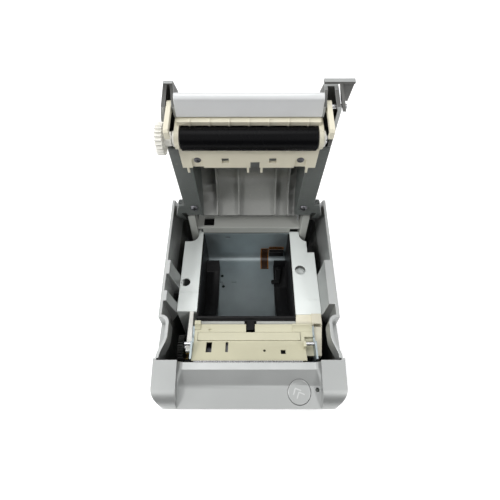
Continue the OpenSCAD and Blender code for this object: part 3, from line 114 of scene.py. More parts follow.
def seen_or_mirrored(tree):
    rays = node(tree, "ShaderNodeLightPath")
    total = rays.outputs["Is Camera Ray"]
    for kind in ("Is Glossy Ray", "Is Transmission Ray"):
        both = node(tree, "ShaderNodeMath", operation="MAXIMUM")
        linked(total, both.inputs[0])
        linked(rays.outputs[kind], both.inputs[1])
        total = both.outputs["Value"]
    return total


WHITE = (1, 1, 1, 1)
SKY_TOP = (-0.15, 0.2, 0.97)
SKY_FROM, SKY_LOW, SKY_HIGH = 0.45, 0.16, 1.45

scene.view_settings.view_transform = "Standard"
scene.world = bpy.data.worlds.new("studio")
scene.world.use_nodes = True
sky_tree = scene.world.node_tree
sky = sky_tree.nodes["Background"]
sky.inputs["Color"].default_value = WHITE
sky_height = node(sky_tree, "ShaderNodeVectorMath", operation="DOT_PRODUCT")
sky_height.inputs[1].default_value = SKY_TOP
linked(node(sky_tree, "ShaderNodeTexCoord").outputs["Generated"], sky_height.inputs[0])
sky_level = spread(sky_height.outputs["Value"], SKY_LOW, SKY_HIGH, SKY_FROM, 1.0)
linked(sky_level, sky.inputs["Strength"])
plain_white = node(sky_tree, "ShaderNodeBackground")
plain_white.inputs["Color"].default_value = WHITE
seen_mix = node(sky_tree, "ShaderNodeMixShader")
linked(seen_or_mirrored(sky_tree), seen_mix.inputs["Fac"])
linked(sky.outputs["Background"], seen_mix.inputs[1])
linked(plain_white.outputs["Background"], seen_mix.inputs[2])
linked(seen_mix.outputs["Shader"], sky_tree.nodes["World Output"].inputs["Surface"])
print("sky strength from", SKY_LOW, "to", SKY_HIGH)

# %% [markdown]
# ## Lamps
# A large lamp overhead gives the sheen on what faces up. Three small ones from the front and the left draw
# the ribs and the walls. They stand to the sides, because a lamp straight in front would glare in the
# silver nose.


# %% Lamps
def area_lamp(name, place, aim, size, watts):
    lamp = bpy.data.lights.new(name, "AREA")
    lamp.shape = "DISK"
    lamp.size = size
    lamp.energy = watts
    holder = bpy.data.objects.new(name, lamp)
    holder.location = place
    holder.rotation_euler = (Vector(aim) - Vector(place)).to_track_quat("-Z", "Y").to_euler()
    scene.collection.objects.link(holder)


area_lamp("left_lamp", place=(-0.9, -0.7, 1.2), aim=(0, 0, 0.12), size=0.35, watts=7)
area_lamp("right_lamp", place=(0.8, -0.8, 1.2), aim=(0, 0, 0.12), size=0.35, watts=5)
area_lamp("top_lamp", place=(-0.1, 0.27, 1.34), aim=(0, -0.05, 0.08), size=0.8, watts=3.4)
area_lamp("side_lamp", place=(-1.1, -0.25, 0.62), aim=(0, 0, 0.1), size=0.5, watts=5)
print("lamps:", [(lamp.name, round(lamp.energy, 1)) for lamp in bpy.data.lights])

# %% [markdown]
# ## Floor and card
# The floor is white paper. It takes the printer's shadow, and a little glow of its own makes the rest of it
# white, again only for the camera and in mirrors. A silver slope needs something dark to mirror, or it
# looks as flat as paper. So a dark card stands in front of the nose, as in a studio. The camera doesn't see
# the card.

# %% Floor and card
FLOOR_REACH, FLOOR_TONE, FLOOR_GLOW, FLOOR_ROUGH = 4.0, 0.86, 0.34, 0.9
CARD_AT, CARD_HALF_WIDTH, CARD_LOW, CARD_HIGH = -0.55, 0.5, 0.03, 0.52
CARD_TONE, CARD_ROUGH = 0.03, 0.95


def stage_sheet(name, corners, finish_name, tone, rough):
    mesh = bpy.data.meshes.new(name)
    mesh.from_pydata(corners, [], [(0, 1, 2, 3)])
    sheet = bpy.data.objects.new(name, mesh)
    scene.collection.objects.link(sheet)
    finish = bpy.data.materials.new(finish_name)
    finish.use_nodes = True
    shader = finish.node_tree.nodes["Principled BSDF"]
    shader.inputs["Base Color"].default_value = (tone, tone, tone, 1)
    shader.inputs["Roughness"].default_value = rough
    mesh.materials.append(finish)
    return sheet, finish.node_tree


floor_corners = [(x * FLOOR_REACH, y * FLOOR_REACH, 0) for x, y in ((-1, -1), (1, -1), (1, 1), (-1, 1))]
floor, paper_tree = stage_sheet("floor", floor_corners, "floor_paper", FLOOR_TONE, FLOOR_ROUGH)
paper = paper_tree.nodes["Principled BSDF"]
paper.inputs["Emission Color"].default_value = (FLOOR_GLOW, FLOOR_GLOW, FLOOR_GLOW, 1)
linked(seen_or_mirrored(paper_tree), paper.inputs["Emission Strength"])

card_sides = ((-1, CARD_LOW), (1, CARD_LOW), (1, CARD_HIGH), (-1, CARD_HIGH))
card_corners = [(side * CARD_HALF_WIDTH, CARD_AT, z) for side, z in card_sides]
card = stage_sheet("dark_card", card_corners, "card_black", CARD_TONE, CARD_ROUGH)[0]
card.visible_camera = False
print("stage:", floor.name, "and", card.name)

# %% [markdown]
# ## Finishes
# A finish is a material built from nodes. Its grain, clouds and dust are noise, read in object coordinates
# so that they have the same scale on every piece. Pictures could do this too, but the pieces would have to
# be unwrapped for them. A few helpers stretch the noise, mix colours with it or press it into the surface.

# %% Finish helpers
MIX_A, MIX_B, MIX_RESULT = 6, 7, 2


def start_finish(name):
    finish = bpy.data.materials.new(name)
    finish.use_nodes = True
    where = node(finish.node_tree, "ShaderNodeTexCoord").outputs["Object"]
    return finish, finish.node_tree.nodes["Principled BSDF"], where


def noise(where, scale, detail=3.0, roughness=0.55, stretch=None):
    texture = node(where.id_data, "ShaderNodeTexNoise")
    texture.inputs["Scale"].default_value = scale
    texture.inputs["Detail"].default_value = detail
    texture.inputs["Roughness"].default_value = roughness
    if stretch:
        mapping = node(where.id_data, "ShaderNodeMapping")
        mapping.inputs["Scale"].default_value = stretch
        linked(where, mapping.inputs["Vector"])
        where = mapping.outputs["Vector"]
    linked(where, texture.inputs["Vector"])
    return texture.outputs["Fac"]


def tint(factor, colour_a, colour_b):
    mixed = node(factor.id_data, "ShaderNodeMix", data_type="RGBA")
    linked(factor, mixed.inputs["Factor"])
    for socket, colour in ((mixed.inputs[MIX_A], colour_a), (mixed.inputs[MIX_B], colour_b)):
        if hasattr(colour, "links"):
            linked(colour, socket)
        else:
            socket.default_value = (*colour, 1)
    return mixed.outputs[MIX_RESULT]


def bumped(shader, height, strength, distance):
    bump = node(shader.id_data, "ShaderNodeBump")
    bump.inputs["Strength"].default_value = strength
    bump.inputs["Distance"].default_value = distance
    linked(height, bump.inputs["Height"])
    linked(bump.outputs["Normal"], shader.inputs["Normal"])


def scaled(colour, factor):
    return tuple(min(1.0, c * factor) for c in colour)


print("finish helpers ready")

# %% [markdown]
# ## Moulded plastic
# Nearly everything here is moulded plastic. A moulded surface has a fine spark-eroded grain, a slow change
# of tone where the plastic flowed, and edges that handling has polished a little lighter. One function
# builds such a finish from those few numbers, where a copy of the nodes for each plastic would be long and
# drift apart. The lighter edges come from a mesh attribute, edge_wear, which is written when the edges are
# rounded.

# %% Moulded plastic
FLOW_SCALE, DUST_SCALE, WEAR_SCALE, SHEEN_SCALE = 18, 420, 240, 60
GRAIN_HEIGHT = 0.00006
PAPER_DUST = (0.62, 0.60, 0.55)


def moulded(name, colour, rough=0.5, grain=2200, grain_depth=0.35, mottle=0.06, wear=0.25, dust=0.0,
            metal=0.0, shine=0.5):
    finish, shader, where = start_finish(name)
    slow = spread(noise(where, FLOW_SCALE, detail=4), 0, 1)
    base = tint(slow, scaled(colour, 1 - mottle), scaled(colour, 1 + mottle))
    if dust:
        specks = noise(where, DUST_SCALE, detail=5, roughness=0.7)
        specks = spread(specks, 0, dust, from_low=0.58, from_high=0.75)
        base = tint(specks, base, PAPER_DUST)
    edges = node(finish.node_tree, "ShaderNodeAttribute", attribute_name="edge_wear")
    patchy = spread(noise(where, WEAR_SCALE), 0.2, 1.0)
    worn = node(finish.node_tree, "ShaderNodeMath", operation="MULTIPLY")
    linked(edges.outputs["Fac"], worn.inputs[0])
    linked(patchy, worn.inputs[1])
    lighter = tuple(c + (1 - c) * wear for c in colour)
    base = tint(worn.outputs["Value"], base, lighter)
    linked(base, shader.inputs["Base Color"])
    sheen = spread(noise(where, SHEEN_SCALE), rough * 0.93, rough * 1.1)
    linked(sheen, shader.inputs["Roughness"])
    bumped(shader, noise(where, grain, detail=2, roughness=0.6), grain_depth, GRAIN_HEIGHT)
    shader.inputs["Metallic"].default_value = metal
    shader.inputs["Specular IOR Level"].default_value = shine
    return finish


case_silver = moulded("case_silver", (0.365, 0.375, 0.37), 0.38, grain_depth=0.12, mottle=0.03, metal=0.6)
# dark plastic inside the lid and lever; on the casing's low inner walls also painted shade, on the cup wall only
# painted shade
dark_plastic_and_painted_shade = moulded("dark_plastic_and_painted_shade", (0.10, 0.10, 0.095), 0.5, dust=0.08, wear=0.2)
deck_pale = moulded("deck_pale", (0.77, 0.81, 0.79), 0.42, grain=1800, grain_depth=0.2, mottle=0.03)
lip_silver = moulded("lip_silver", (0.62, 0.63, 0.635), 0.32, grain_depth=0.05, mottle=0.03, wear=0.02,
                     metal=0.2)
mark_silver = moulded("mark_silver", (0.52, 0.53, 0.525), 0.40, grain_depth=0.1, mottle=0.03, metal=0.6)
liner_dark = moulded("liner_dark", (0.085, 0.095, 0.09), 0.46, dust=0.10, wear=0.15)
hood_grey = moulded("hood_grey", (0.27, 0.275, 0.26), 0.24, grain_depth=0.1, dust=0.10, wear=0.2, shine=0.7)
bridge_grey = moulded("bridge_grey", (0.46, 0.47, 0.44), 0.45, wear=0.2)
underside_grey = moulded("underside_grey", (0.10, 0.10, 0.10), 0.55)
cream_plastic = moulded("cream_plastic", (0.68, 0.645, 0.515), 0.42, grain=1600, grain_depth=0.15,
                        mottle=0.05)
cream_aged = moulded("cream_aged", (0.52, 0.50, 0.365), 0.40, grain=1600, grain_depth=0.15, mottle=0.07)
nylon_white = moulded("nylon_white", (0.78, 0.77, 0.72), 0.40, grain=1200, grain_depth=0.12, mottle=0.03)
plastic_black = moulded("plastic_black", (0.006, 0.006, 0.0065), 0.48, dust=0.02, wear=0.06, shine=0.22)
gear_dark = moulded("gear_dark", (0.008, 0.008, 0.007), 0.5, dust=0.12, wear=0.08, shine=0.22)
print("plastics:", [m.name for m in bpy.data.materials])

# %% [markdown]
# ## Rubber, metals and small finishes
# Rubber is darker and duller than plastic and picks up paper dust. Sheet steel is rolled, so its scratches
# run one way, and it has a blue tinge from the zinc. Turned shafts carry fine rings instead. Both are the
# same noise, stretched along another axis, so one function serves them. Boards, lamp and flexible strip are
# moulded finishes with other numbers.

# %% Rubber, metals and small finishes
LINT = (0.35, 0.34, 0.32)
LINT_SCALE, RUBBER_SCALE, RUBBER_GRAIN = 700, 90, 2600
ROLL_SCALE, CLOUD_SCALE = 900, 35


def rubbery(name, colour):
    finish, shader, where = start_finish(name)
    lint = noise(where, LINT_SCALE, detail=5, roughness=0.7)
    lint = spread(lint, 0, 0.012, from_low=0.62, from_high=0.80)
    linked(tint(lint, colour, LINT), shader.inputs["Base Color"])
    linked(spread(noise(where, RUBBER_SCALE), 0.24, 0.30), shader.inputs["Roughness"])
    bumped(shader, noise(where, RUBBER_GRAIN, detail=2), strength=0.08, distance=0.00005)
    shader.inputs["Specular IOR Level"].default_value = 0.07
    return finish


def rolled_metal(name, colour, rough, stretch, streak=0.08, metal=1.0):
    finish, shader, where = start_finish(name)
    lines = noise(where, ROLL_SCALE, detail=4, roughness=0.6, stretch=stretch)
    clouds = spread(noise(where, CLOUD_SCALE, detail=4), 0, 1)
    tone = tint(clouds, scaled(colour, 0.88), scaled(colour, 1.08))
    linked(tone, shader.inputs["Base Color"])
    shader.inputs["Metallic"].default_value = metal
    linked(spread(lines, rough - streak, rough + streak), shader.inputs["Roughness"])
    bumped(shader, lines, strength=0.12, distance=0.00004)
    return finish


rubber_black = rubbery("rubber_black", (0.003, 0.003, 0.0035))
sheet_zinc = rolled_metal("sheet_zinc", (0.32, 0.37, 0.385), 0.40, (1, 0.05, 1), streak=0.03, metal=0.65)
steel_bright = rolled_metal("steel_bright", (0.66, 0.66, 0.67), 0.26, (1, 0.1, 0.1))
steel_dark = rolled_metal("steel_dark", (0.13, 0.13, 0.14), 0.42, (1, 1, 1))
steel_spring = rolled_metal("steel_spring", (0.34, 0.34, 0.35), 0.30, (1, 1, 1))
brass_turned = rolled_metal("brass_turned", (0.72, 0.50, 0.20), 0.30, (1, 0.1, 0.1))
board_green = moulded("board_green", (0.006, 0.030, 0.014), 0.30, grain=500, grain_depth=0.1, mottle=0.2)
lamp_dark = moulded("lamp_dark", (0.012, 0.02, 0.014), 0.15, grain_depth=0.02)
flex_amber = moulded("flex_amber", (0.24, 0.095, 0.016), 0.25, grain=300, grain_depth=0.06, mottle=0.25)
flex_brown = moulded("flex_brown", (0.030, 0.013, 0.006), 0.25, grain=300, grain_depth=0.06, mottle=0.3)
print("finishes in all:", len(bpy.data.materials))

# %% [markdown]
# ## Rounded edges for the mouldings
# CAD solids have knife edges, and light never catches a knife edge. Each solid is copied, its triangles are
# joined into whole faces, and the outer edges are rounded by a few tenths of a millimetre. A bevel modifier
# could do that, but it can't mark the middle row of each bevel in edge_wear, which the finish needs to
# lighten it. So the bevel is run here, on the copy.

# %% Rounding
SHARP_ANGLE = math.radians(28)
FLAT_ANGLE = math.radians(0.8)
WELD = 2e-6
ROUND_ROWS = 2


def copied_solid(cad_node):
    work = bmesh.new()
    work.from_mesh(frame["nodes"][cad_node].data)
    bmesh.ops.remove_doubles(work, verts=work.verts, dist=WELD)
    bmesh.ops.dissolve_limit(work, angle_limit=FLAT_ANGLE, verts=work.verts, edges=work.edges)
    return work


def outer_edges(work, least_angle):
    return [e for e in work.edges if len(e.link_faces) == 2 and e.is_convex and
            e.calc_face_angle(0) > least_angle]


def bevelled(work, edges, width, rows):
    return bmesh.ops.bevel(work, geom=edges, offset=width, offset_type="OFFSET", segments=rows, profile=0.5,
                           affect="EDGES", clamp_overlap=True, loop_slide=True)


def round_edges(work, width):
    wear = work.verts.layers.float.new("edge_wear")
    edges = outer_edges(work, SHARP_ANGLE)
    made = bevelled(work, edges, width, ROUND_ROWS)
    rounded = set(made["faces"])
    for vert in made["verts"]:
        if vert.is_valid and all(f in rounded for f in vert.link_faces):
            vert[wear] = 1.0
    return len(edges)


print("edges sharper than", round(math.degrees(SHARP_ANGLE)), "degrees are rounded")

# %% [markdown]
# ## A finished piece
# Every piece ends in the same way: its mesh gets its finishes, its faces are shaded smooth up to an angle,
# and a weighted-normal modifier keeps the large faces flat beside the small bevels. That modifier is turned
# into plain mesh data before the piece is hung on the body that carries it, and the CAD nodes it stands for
# are hidden.

# %% Finished piece
SMOOTH_UNDER = math.radians(40)
FACE_WEIGHT = 80
behaviour = frame["record"]["behaviour"]
body_of_node = {n: body for body, members in behaviour["bodies"].items() for n in members}


def finished_piece(name, work, finishes, body, stands_for=(), smooth=True):
    mesh = bpy.data.meshes.new(name)
    work.to_mesh(mesh)
    work.free()
    for finish in finishes:
        mesh.materials.append(finish)
    if smooth:
        mesh.polygons.foreach_set("use_smooth", [True] * len(mesh.polygons))
        mesh.set_sharp_from_angle(angle=SMOOTH_UNDER)
    piece = bpy.data.objects.new(name, mesh)
    scene.collection.objects.link(piece)
    if smooth:
        even = piece.modifiers.new("even_normals", "WEIGHTED_NORMAL")
        even.keep_sharp = True
        even.weight = FACE_WEIGHT
        baked = bpy.data.meshes.new_from_object(piece.evaluated_get(bpy.context.evaluated_depsgraph_get()))
        piece.modifiers.clear()
        piece.data = baked
        baked.name = name
        bpy.data.meshes.remove(mesh)
    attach(piece, body)
    if stands_for:
        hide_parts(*stands_for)
    return piece


# %% [markdown]
# ## Dark insides and painted shade
# The lid and its lever are silver on the outside only: inside, the dark plastic shows. The lid is open here,
# so its faces are judged as if it were shut, by the way they then look. The casing's low inner faces get the
# same dark finish: partly its dark plastic, partly painted shade in the gaps and bays beside the decks. The
# casing is split at a height, because its upper walls are silver on both sides. The deep wall of the cup in
# the right deck is painted dark as the shade in that well. Separate solids could carry the two tones, but a
# second material slot on some faces is enough.

# %% Dark insides
lid_joint = next(j for j in frame["joints"] if j["name"] == "lid_hinge")
hinge = Vector(lid_joint["pos_m"])
SHUT = Matrix.Rotation(math.radians(lid_joint["range_deg"][1]), 3, "X")
SKIRT_RIM_MM, RIM_NEAR_MM = (111.5, 118), 1
CASING_DARK_BELOW_MM, INWARDS = 86, 0.3
DECK_TOP_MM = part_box("left_deck")[1].z / MM
CUP_MM, CUP_R_MM = (48, 25.05, DECK_TOP_MM - 5), 4.9
CUP_REACH_MM, CUP_RIM_MM, CUP_STEEP = CUP_R_MM + 0.6, 0.2, 0.6


def is_lid_inside(face):
    way = SHUT @ face.normal
    middle = SHUT @ (face.calc_center_median() - hinge) + hinge
    if way.z < -0.9 and any(abs(middle.z / MM - rim) < RIM_NEAR_MM for rim in SKIRT_RIM_MM):
        return False
    return way.z < -0.35 or (abs(way.x) > 0.5 and way.x * middle.x < 0)


def is_lever_inside(face):
    way = SHUT @ face.normal
    return way.z < -0.3 or abs(way.x) > 0.6


# low inner faces of the casing: dark plastic, and painted shade in the gaps and bays beside the decks
def is_casing_dark_or_shaded(face):
    middle = face.calc_center_median()
    inwards = any(face.normal[i] * middle[i] < -INWARDS * abs(middle[i]) for i in (0, 1))
    return middle.z / MM < CASING_DARK_BELOW_MM and inwards


# the deep wall of the cup: painted shade of the well, not the deck's own colour
def is_cup_wall_in_painted_shade(face):
    middle = face.calc_center_median() / MM
    from_cup = (middle.xy - Vector(CUP_MM[:2])).length
    return from_cup < CUP_REACH_MM and abs(face.normal.z) < CUP_STEEP and middle.z < DECK_TOP_MM - CUP_RIM_MM


DARK_AND_SHADE_RULE = {"lid_cover": is_lid_inside, "release_lever": is_lever_inside,
               "base_casing": is_casing_dark_or_shaded, "right_deck": is_cup_wall_in_painted_shade}


def darken_inside_and_paint_shade(cad_node, work):
    if cad_node == "base_casing":
        bmesh.ops.bisect_plane(work, geom=[*work.verts, *work.edges, *work.faces], dist=WELD,
                               plane_co=(0, 0, CASING_DARK_BELOW_MM * MM), plane_no=(0, 0, 1))
    for face in work.faces:
        face.material_index = int(DARK_AND_SHADE_RULE[cad_node](face))


print("dark inside:", list(DARK_AND_SHADE_RULE))

# %% [markdown]
# ## Cutting tools
# A modeller saws and files, and here a boolean does that. Each cutter is a small closed solid. A box serves
# for straight cuts, and rings of points joined one to the next serve for round ones. A knife cut in the
# mesh could draw the lines, but it would leave no depth.


# %% Cutting tools
def box_cutter(low_mm, high_mm):
    work = bmesh.new()
    made = bmesh.ops.create_cube(work, size=1)
    low_corner, high_corner = Vector(low_mm) * MM, Vector(high_mm) * MM
    for vert in made["verts"]:
        vert.co = (low_corner + high_corner) / 2 + vert.co * (high_corner - low_corner)
    return work


def cut_from(work, cutters):
    parts = []
    for shape in (work, *cutters):
        mesh = bpy.data.meshes.new("cutting")
        shape.to_mesh(mesh)
        shape.free()
        parts.append(bpy.data.objects.new("cutting", mesh))
        scene.collection.objects.link(parts[-1])
    for cutter in parts[1:]:
        cut = parts[0].modifiers.new("cut", "BOOLEAN")
        cut.operation = "DIFFERENCE"
        cut.solver = "EXACT"
        cut.object = cutter
    made = bpy.data.meshes.new_from_object(parts[0].evaluated_get(bpy.context.evaluated_depsgraph_get()))
    result = bmesh.new()
    result.from_mesh(made)
    bpy.data.meshes.remove(made)
    for part in parts:
        bpy.data.meshes.remove(part.data)
    return result


def joined_rings(work, rings):
    for a, b in zip(rings, rings[1:]):
        for i in range(len(a)):
            j = (i + 1) % len(a)
            work.faces.new((a[i], a[j], b[j], b[i]))


print("cutting tools ready")

# %% [markdown]
# ## Lines, slits and a bend
# A few small forms are taken out of the copies: a parting line in each deck, two slits in the tray and the
# crescent of shade round the foot of the cup in the right deck. They could be painted, but a cut catches
# the light from every side. Each is a thin solid that a boolean takes away. The front lip is a bent strip,
# so its long edges get a larger bend. The thermal head is widened a little, so that the gap round it stays
# a fine line.

# %% Cuts and bends
LINE_MM, LINE_DEEP_MM = 0.25, 0.4
DECK_LINES_MM = {"left_deck": (-62.9, -45.6, 1.8), "right_deck": (51.5, 62, -6.1)}
TRAY_SLITS_MM, SLIT_Y_MM, SLIT_Z_MM = ((-18.5, -13.3), (-31.6, -27.4)), (35.4, 36.0), (50, 56)
CRESCENT_STEPS, CRESCENT_Z_MM = 32, (CUP_MM[2] - 1.6, CUP_MM[2] + 0.4)
CRESCENT_WALLS_MM = ((CUP_R_MM + 0.2, 0.0, 0.0), (CUP_R_MM - 0.55, -0.65, -0.65 * 0.6))
LIP_BEND_MM, LIP_BEND_ROWS, LIP_BEND_ANGLE, LIP_FACE_MM2 = 2.4, 8, math.radians(20), 230
HEAD_FILL_MM = 0.75


def crescent_ring(work, radius, shift_x, shift_y, z):
    turns = [math.tau * i / CRESCENT_STEPS for i in range(CRESCENT_STEPS)]
    return [work.verts.new(Vector((CUP_MM[0] + shift_x + radius * math.cos(a),
                                   CUP_MM[1] + shift_y + radius * math.sin(a), z)) * MM) for a in turns]


def cup_crescent():
    work = bmesh.new()
    outer_low, inner_low, outer_high, inner_high = [
        crescent_ring(work, *wall, z) for z in CRESCENT_Z_MM for wall in CRESCENT_WALLS_MM]
    joined_rings(work, [outer_low, outer_high, inner_high, inner_low, outer_low])
    bmesh.ops.recalc_face_normals(work, faces=work.faces)
    return work


def cuts_for(cad_node):
    cutters = []
    if cad_node in DECK_LINES_MM:
        x0, x1, y = DECK_LINES_MM[cad_node]
        cutters.append(box_cutter((x0, y - LINE_MM / 2, DECK_TOP_MM - LINE_DEEP_MM),
                                  (x1, y + LINE_MM / 2, DECK_TOP_MM + 1)))
    if cad_node == "right_deck":
        cutters.append(cup_crescent())
    if cad_node == "paper_tray":
        cutters += [box_cutter((x0, SLIT_Y_MM[0], SLIT_Z_MM[0]), (x1, SLIT_Y_MM[1], SLIT_Z_MM[1]))
                    for x0, x1 in TRAY_SLITS_MM]
    return cutters


def bend_lip(work):
    edges = [e for e in outer_edges(work, LIP_BEND_ANGLE)
             if all(f.calc_area() > LIP_FACE_MM2 * MM * MM for f in e.link_faces)]
    bevelled(work, edges, LIP_BEND_MM * MM, LIP_BEND_ROWS)
    print("lip bends:", len(edges))


def widen_head(work):
    for vert, way in [(v, v.normal.copy()) for v in work.verts]:
        vert.co += Vector((way.x, way.y, 0)) * HEAD_FILL_MM * MM


print("lines:", list(DECK_LINES_MM), "slits:", len(TRAY_SLITS_MM))

# %% [markdown]
# ## Dressing the mouldings
# Now each moulding gets its finish and the size of its rounded edges: large on the casing, small on gears
# and sheet metal. They could be written out one by one, but a table keeps the pieces apart from the work
# that is the same for all. The copy then stands in for the CAD node.


# %% Dressed mouldings
def rounded_copy(cad_node, finish, width_mm):
    work = copied_solid(cad_node)
    finishes = [finish]
    if cad_node in DARK_AND_SHADE_RULE:
        finishes.append(dark_plastic_and_painted_shade)
        darken_inside_and_paint_shade(cad_node, work)
    if cad_node == "thermal_head":
        widen_head(work)
    if cad_node == "front_lip":
        bend_lip(work)
    count = round_edges(work, width_mm * MM)
    cutters = cuts_for(cad_node)
    if cutters:
        work = cut_from(work, cutters)
    piece = finished_piece("dressed_" + cad_node, work, finishes, body_of_node[cad_node], [cad_node])
    print(cad_node, "edges", count, "faces", len(piece.data.polygons))
    return piece


dressed = {}
for cad_node, finish, width_mm in (
    ("base_casing", case_silver, 0.6),
    ("front_bezel", case_silver, 0.6),
    ("left_deck", deck_pale, 0.4),
    ("right_deck", deck_pale, 0.4),
    ("rear_bridge", bridge_grey, 0.5),
    ("left_hinge_post", bridge_grey, 0.5),
    ("right_hinge_post", bridge_grey, 0.5),
    ("guide_strip", bridge_grey, 0.3),
    ("mechanism_cover", cream_aged, 0.35),
    ("right_end_block", cream_plastic, 0.35),
    ("left_roll_guide", plastic_black, 0.4),
    ("right_roll_guide", plastic_black, 0.4),
    ("roll_crossbar", plastic_black, 0.4),
    ("feed_button", case_silver, 0.5),
    ("lid_cover", case_silver, 0.5),
    ("lid_liner", liner_dark, 0.4),
    ("roll_hood", hood_grey, 0.3),
    ("front_lip", lip_silver, 0.45),
    ("platen_frame", cream_plastic, 0.3),
    ("release_lever", case_silver, 0.35),
    ("latch_hooks", cream_plastic, 0.3),
    ("platen_rubber", rubber_black, 0.5),
    ("platen_bushes", nylon_white, 0.3),
    ("platen_gear", nylon_white, 0.15),
    ("idler_gear", gear_dark, 0.15),
    ("gear_guard", nylon_white, 0.3),
    ("near_end_lever", plastic_black, 0.3),
    ("paper_flag", plastic_black, 0.25),
    ("bottom_plate", underside_grey, 0.5),
    ("rubber_feet", rubber_black, 0.6),
    ("power_rocker", plastic_black, 0.4),
    ("switch_body", plastic_black, 0.3),
    ("drawer_socket", plastic_black, 0.3),
    ("power_inlet", plastic_black, 0.3),
    ("near_end_sensor", plastic_black, 0.3),
    ("paper_tray", sheet_zinc, 0.2),
    ("thermal_head", cream_aged, 0.2),
):
    dressed[cad_node] = rounded_copy(cad_node, finish, width_mm)

# %% [markdown]
# ## Growing pieces with Geometry Nodes
# Wire, screws and contacts repeat or follow a path, so each is grown by a small node tree: points go in,
# the tree sweeps a round section along them or sets a shape on each of them. The trees have named inputs
# for their sizes. At the end the copies are made real and get their material, and the result is kept as a
# plain mesh.

# %% Tree helpers
GROWN_SMOOTH_UNDER = math.radians(35)


def new_tree(name, inputs):
    tree = bpy.data.node_groups.new(name, "GeometryNodeTree")
    tree.interface.new_socket("Geometry", in_out="INPUT", socket_type="NodeSocketGeometry")
    for label, kind, value in inputs:
        tree.interface.new_socket(label, in_out="INPUT", socket_type=kind).default_value = value
    tree.interface.new_socket("Geometry", in_out="OUTPUT", socket_type="NodeSocketGeometry")
    return tree, node(tree, "NodeGroupInput").outputs, node(tree, "NodeGroupOutput").inputs


def end_tree(tree, shape, result, finish):
    real = node(tree, "GeometryNodeRealizeInstances")
    dressed_in = node(tree, "GeometryNodeSetMaterial")
    dressed_in.inputs["Material"].default_value = finish
    linked(shape, real.inputs["Geometry"])
    linked(real.outputs["Geometry"], dressed_in.inputs["Geometry"])
    linked(dressed_in.outputs["Geometry"], result["Geometry"])


def grown(name, points, tree, values, body, stands_for=(), edges=(), scales=None):
    seeds = bpy.data.meshes.new(name + "_points")
    seeds.from_pydata([tuple(p) for p in points], edges, [])
    if scales:
        layer = seeds.attributes.new("piece_scale", "FLOAT_VECTOR", "POINT")
        for i, scale in enumerate(scales):
            layer.data[i].vector = scale
    holder = bpy.data.objects.new(name + "_holder", seeds)
    scene.collection.objects.link(holder)
    grow = holder.modifiers.new("grow", "NODES")
    grow.node_group = tree
    sockets = {i.name: i.identifier for i in tree.interface.items_tree if i.in_out == "INPUT"}
    for label, value in values.items():
        grow[sockets[label]] = value
    made = bpy.data.meshes.new_from_object(holder.evaluated_get(bpy.context.evaluated_depsgraph_get()))
    bpy.data.objects.remove(holder)
    made.name = name
    made.polygons.foreach_set("use_smooth", [True] * len(made.polygons))
    made.set_sharp_from_angle(angle=GROWN_SMOOTH_UNDER)
    piece = bpy.data.objects.new(name, made)
    scene.collection.objects.link(piece)
    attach(piece, body)
    if stands_for:
        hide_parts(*stands_for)
    print(name, "faces", len(made.polygons))


print("tree helpers ready")

# %% [markdown]
# ## Lid spring
# A torsion spring on the right hinge pin pushes the lid open: one steel wire with a long leg behind the
# hood, four and a half turns round the pin and a short foot. A curve object could carry it, but a sweep
# along points that a formula gives keeps the turns exact. The corners between legs and turns are cut twice,
# as a wire bender's radius would round them.

# %% Lid spring
WIRE_MM, COIL_MM, PITCH_MM, TURNS = 1.2, 4.0, 1.7, 4.5
LEG_MM, LEG_STOPS_MM, COIL_X_MM = 27, (5, 1.6), 39
FOOT_MM, FOOT_OUT_MM = 12, 0.3
TURN_STEPS, WIRE_SIDES = 24, 14


def spring_path():
    points = [(COIL_X_MM - back, COIL_MM, 0) for back in (LEG_MM, *LEG_STOPS_MM)]
    for i in range(int(TURNS * TURN_STEPS) + 1):
        a = math.tau * i / TURN_STEPS
        points.append((COIL_X_MM + PITCH_MM * i / TURN_STEPS, COIL_MM * math.cos(a), COIL_MM * math.sin(a)))
    points.append((COIL_X_MM + PITCH_MM * TURNS + FOOT_OUT_MM, -COIL_MM, -FOOT_MM))
    return [Vector(p) for p in points]


def cut_corners(points):
    made = [points[0]]
    for a, b in zip(points, points[1:]):
        made += [a.lerp(b, 0.25), a.lerp(b, 0.75)]
    return made + [points[-1]]


wire_tree, wire_in, wire_out = new_tree("wire_sweep", [
    ("Wire radius", "NodeSocketFloat", WIRE_MM * MM / 2), ("Sides", "NodeSocketInt", WIRE_SIDES)])
wire_line = node(wire_tree, "GeometryNodeMeshToCurve")
wire_round = node(wire_tree, "GeometryNodeCurvePrimitiveCircle")
wire_tube = node(wire_tree, "GeometryNodeCurveToMesh")
wire_tube.inputs["Fill Caps"].default_value = True
linked(wire_in["Geometry"], wire_line.inputs["Mesh"])
linked(wire_in["Sides"], wire_round.inputs["Resolution"])
linked(wire_in["Wire radius"], wire_round.inputs["Radius"])
linked(wire_line.outputs["Curve"], wire_tube.inputs["Curve"])
linked(wire_round.outputs["Curve"], wire_tube.inputs["Profile Curve"])
end_tree(wire_tree, wire_tube.outputs["Mesh"], wire_out, steel_spring)

spring_line = [hinge + p * MM for p in cut_corners(cut_corners(spring_path()))]
spring_sizes = {"Wire radius": WIRE_MM * MM / 2, "Sides": WIRE_SIDES}
grown("lid_spring_wire", spring_line, wire_tree, spring_sizes, "lid",
      ["torsion_spring"], edges=[(i, i + 1) for i in range(len(spring_line) - 1)])

# %% [markdown]
# ## Screws
# The screws have low round heads with a cross recess. A head could be turned from a profile, but here a
# flattened ball is cut in half and two bars are taken out of it. The tree sets one on each point, turned by
# chance as a screwdriver leaves it, with a fixed seed. The places and sizes come from the CAD solids.

# %% Screw tree
RECESS_WIDTH, RECESS_LENGTH, RECESS_DEPTH, SCREW_SEED = 0.24, 1.1, 0.6, 3
BALL_SIDES, BALL_RINGS = 32, 16
HALF_SIZE, BAR_HEIGHT = (3, 3, 2), 2.0

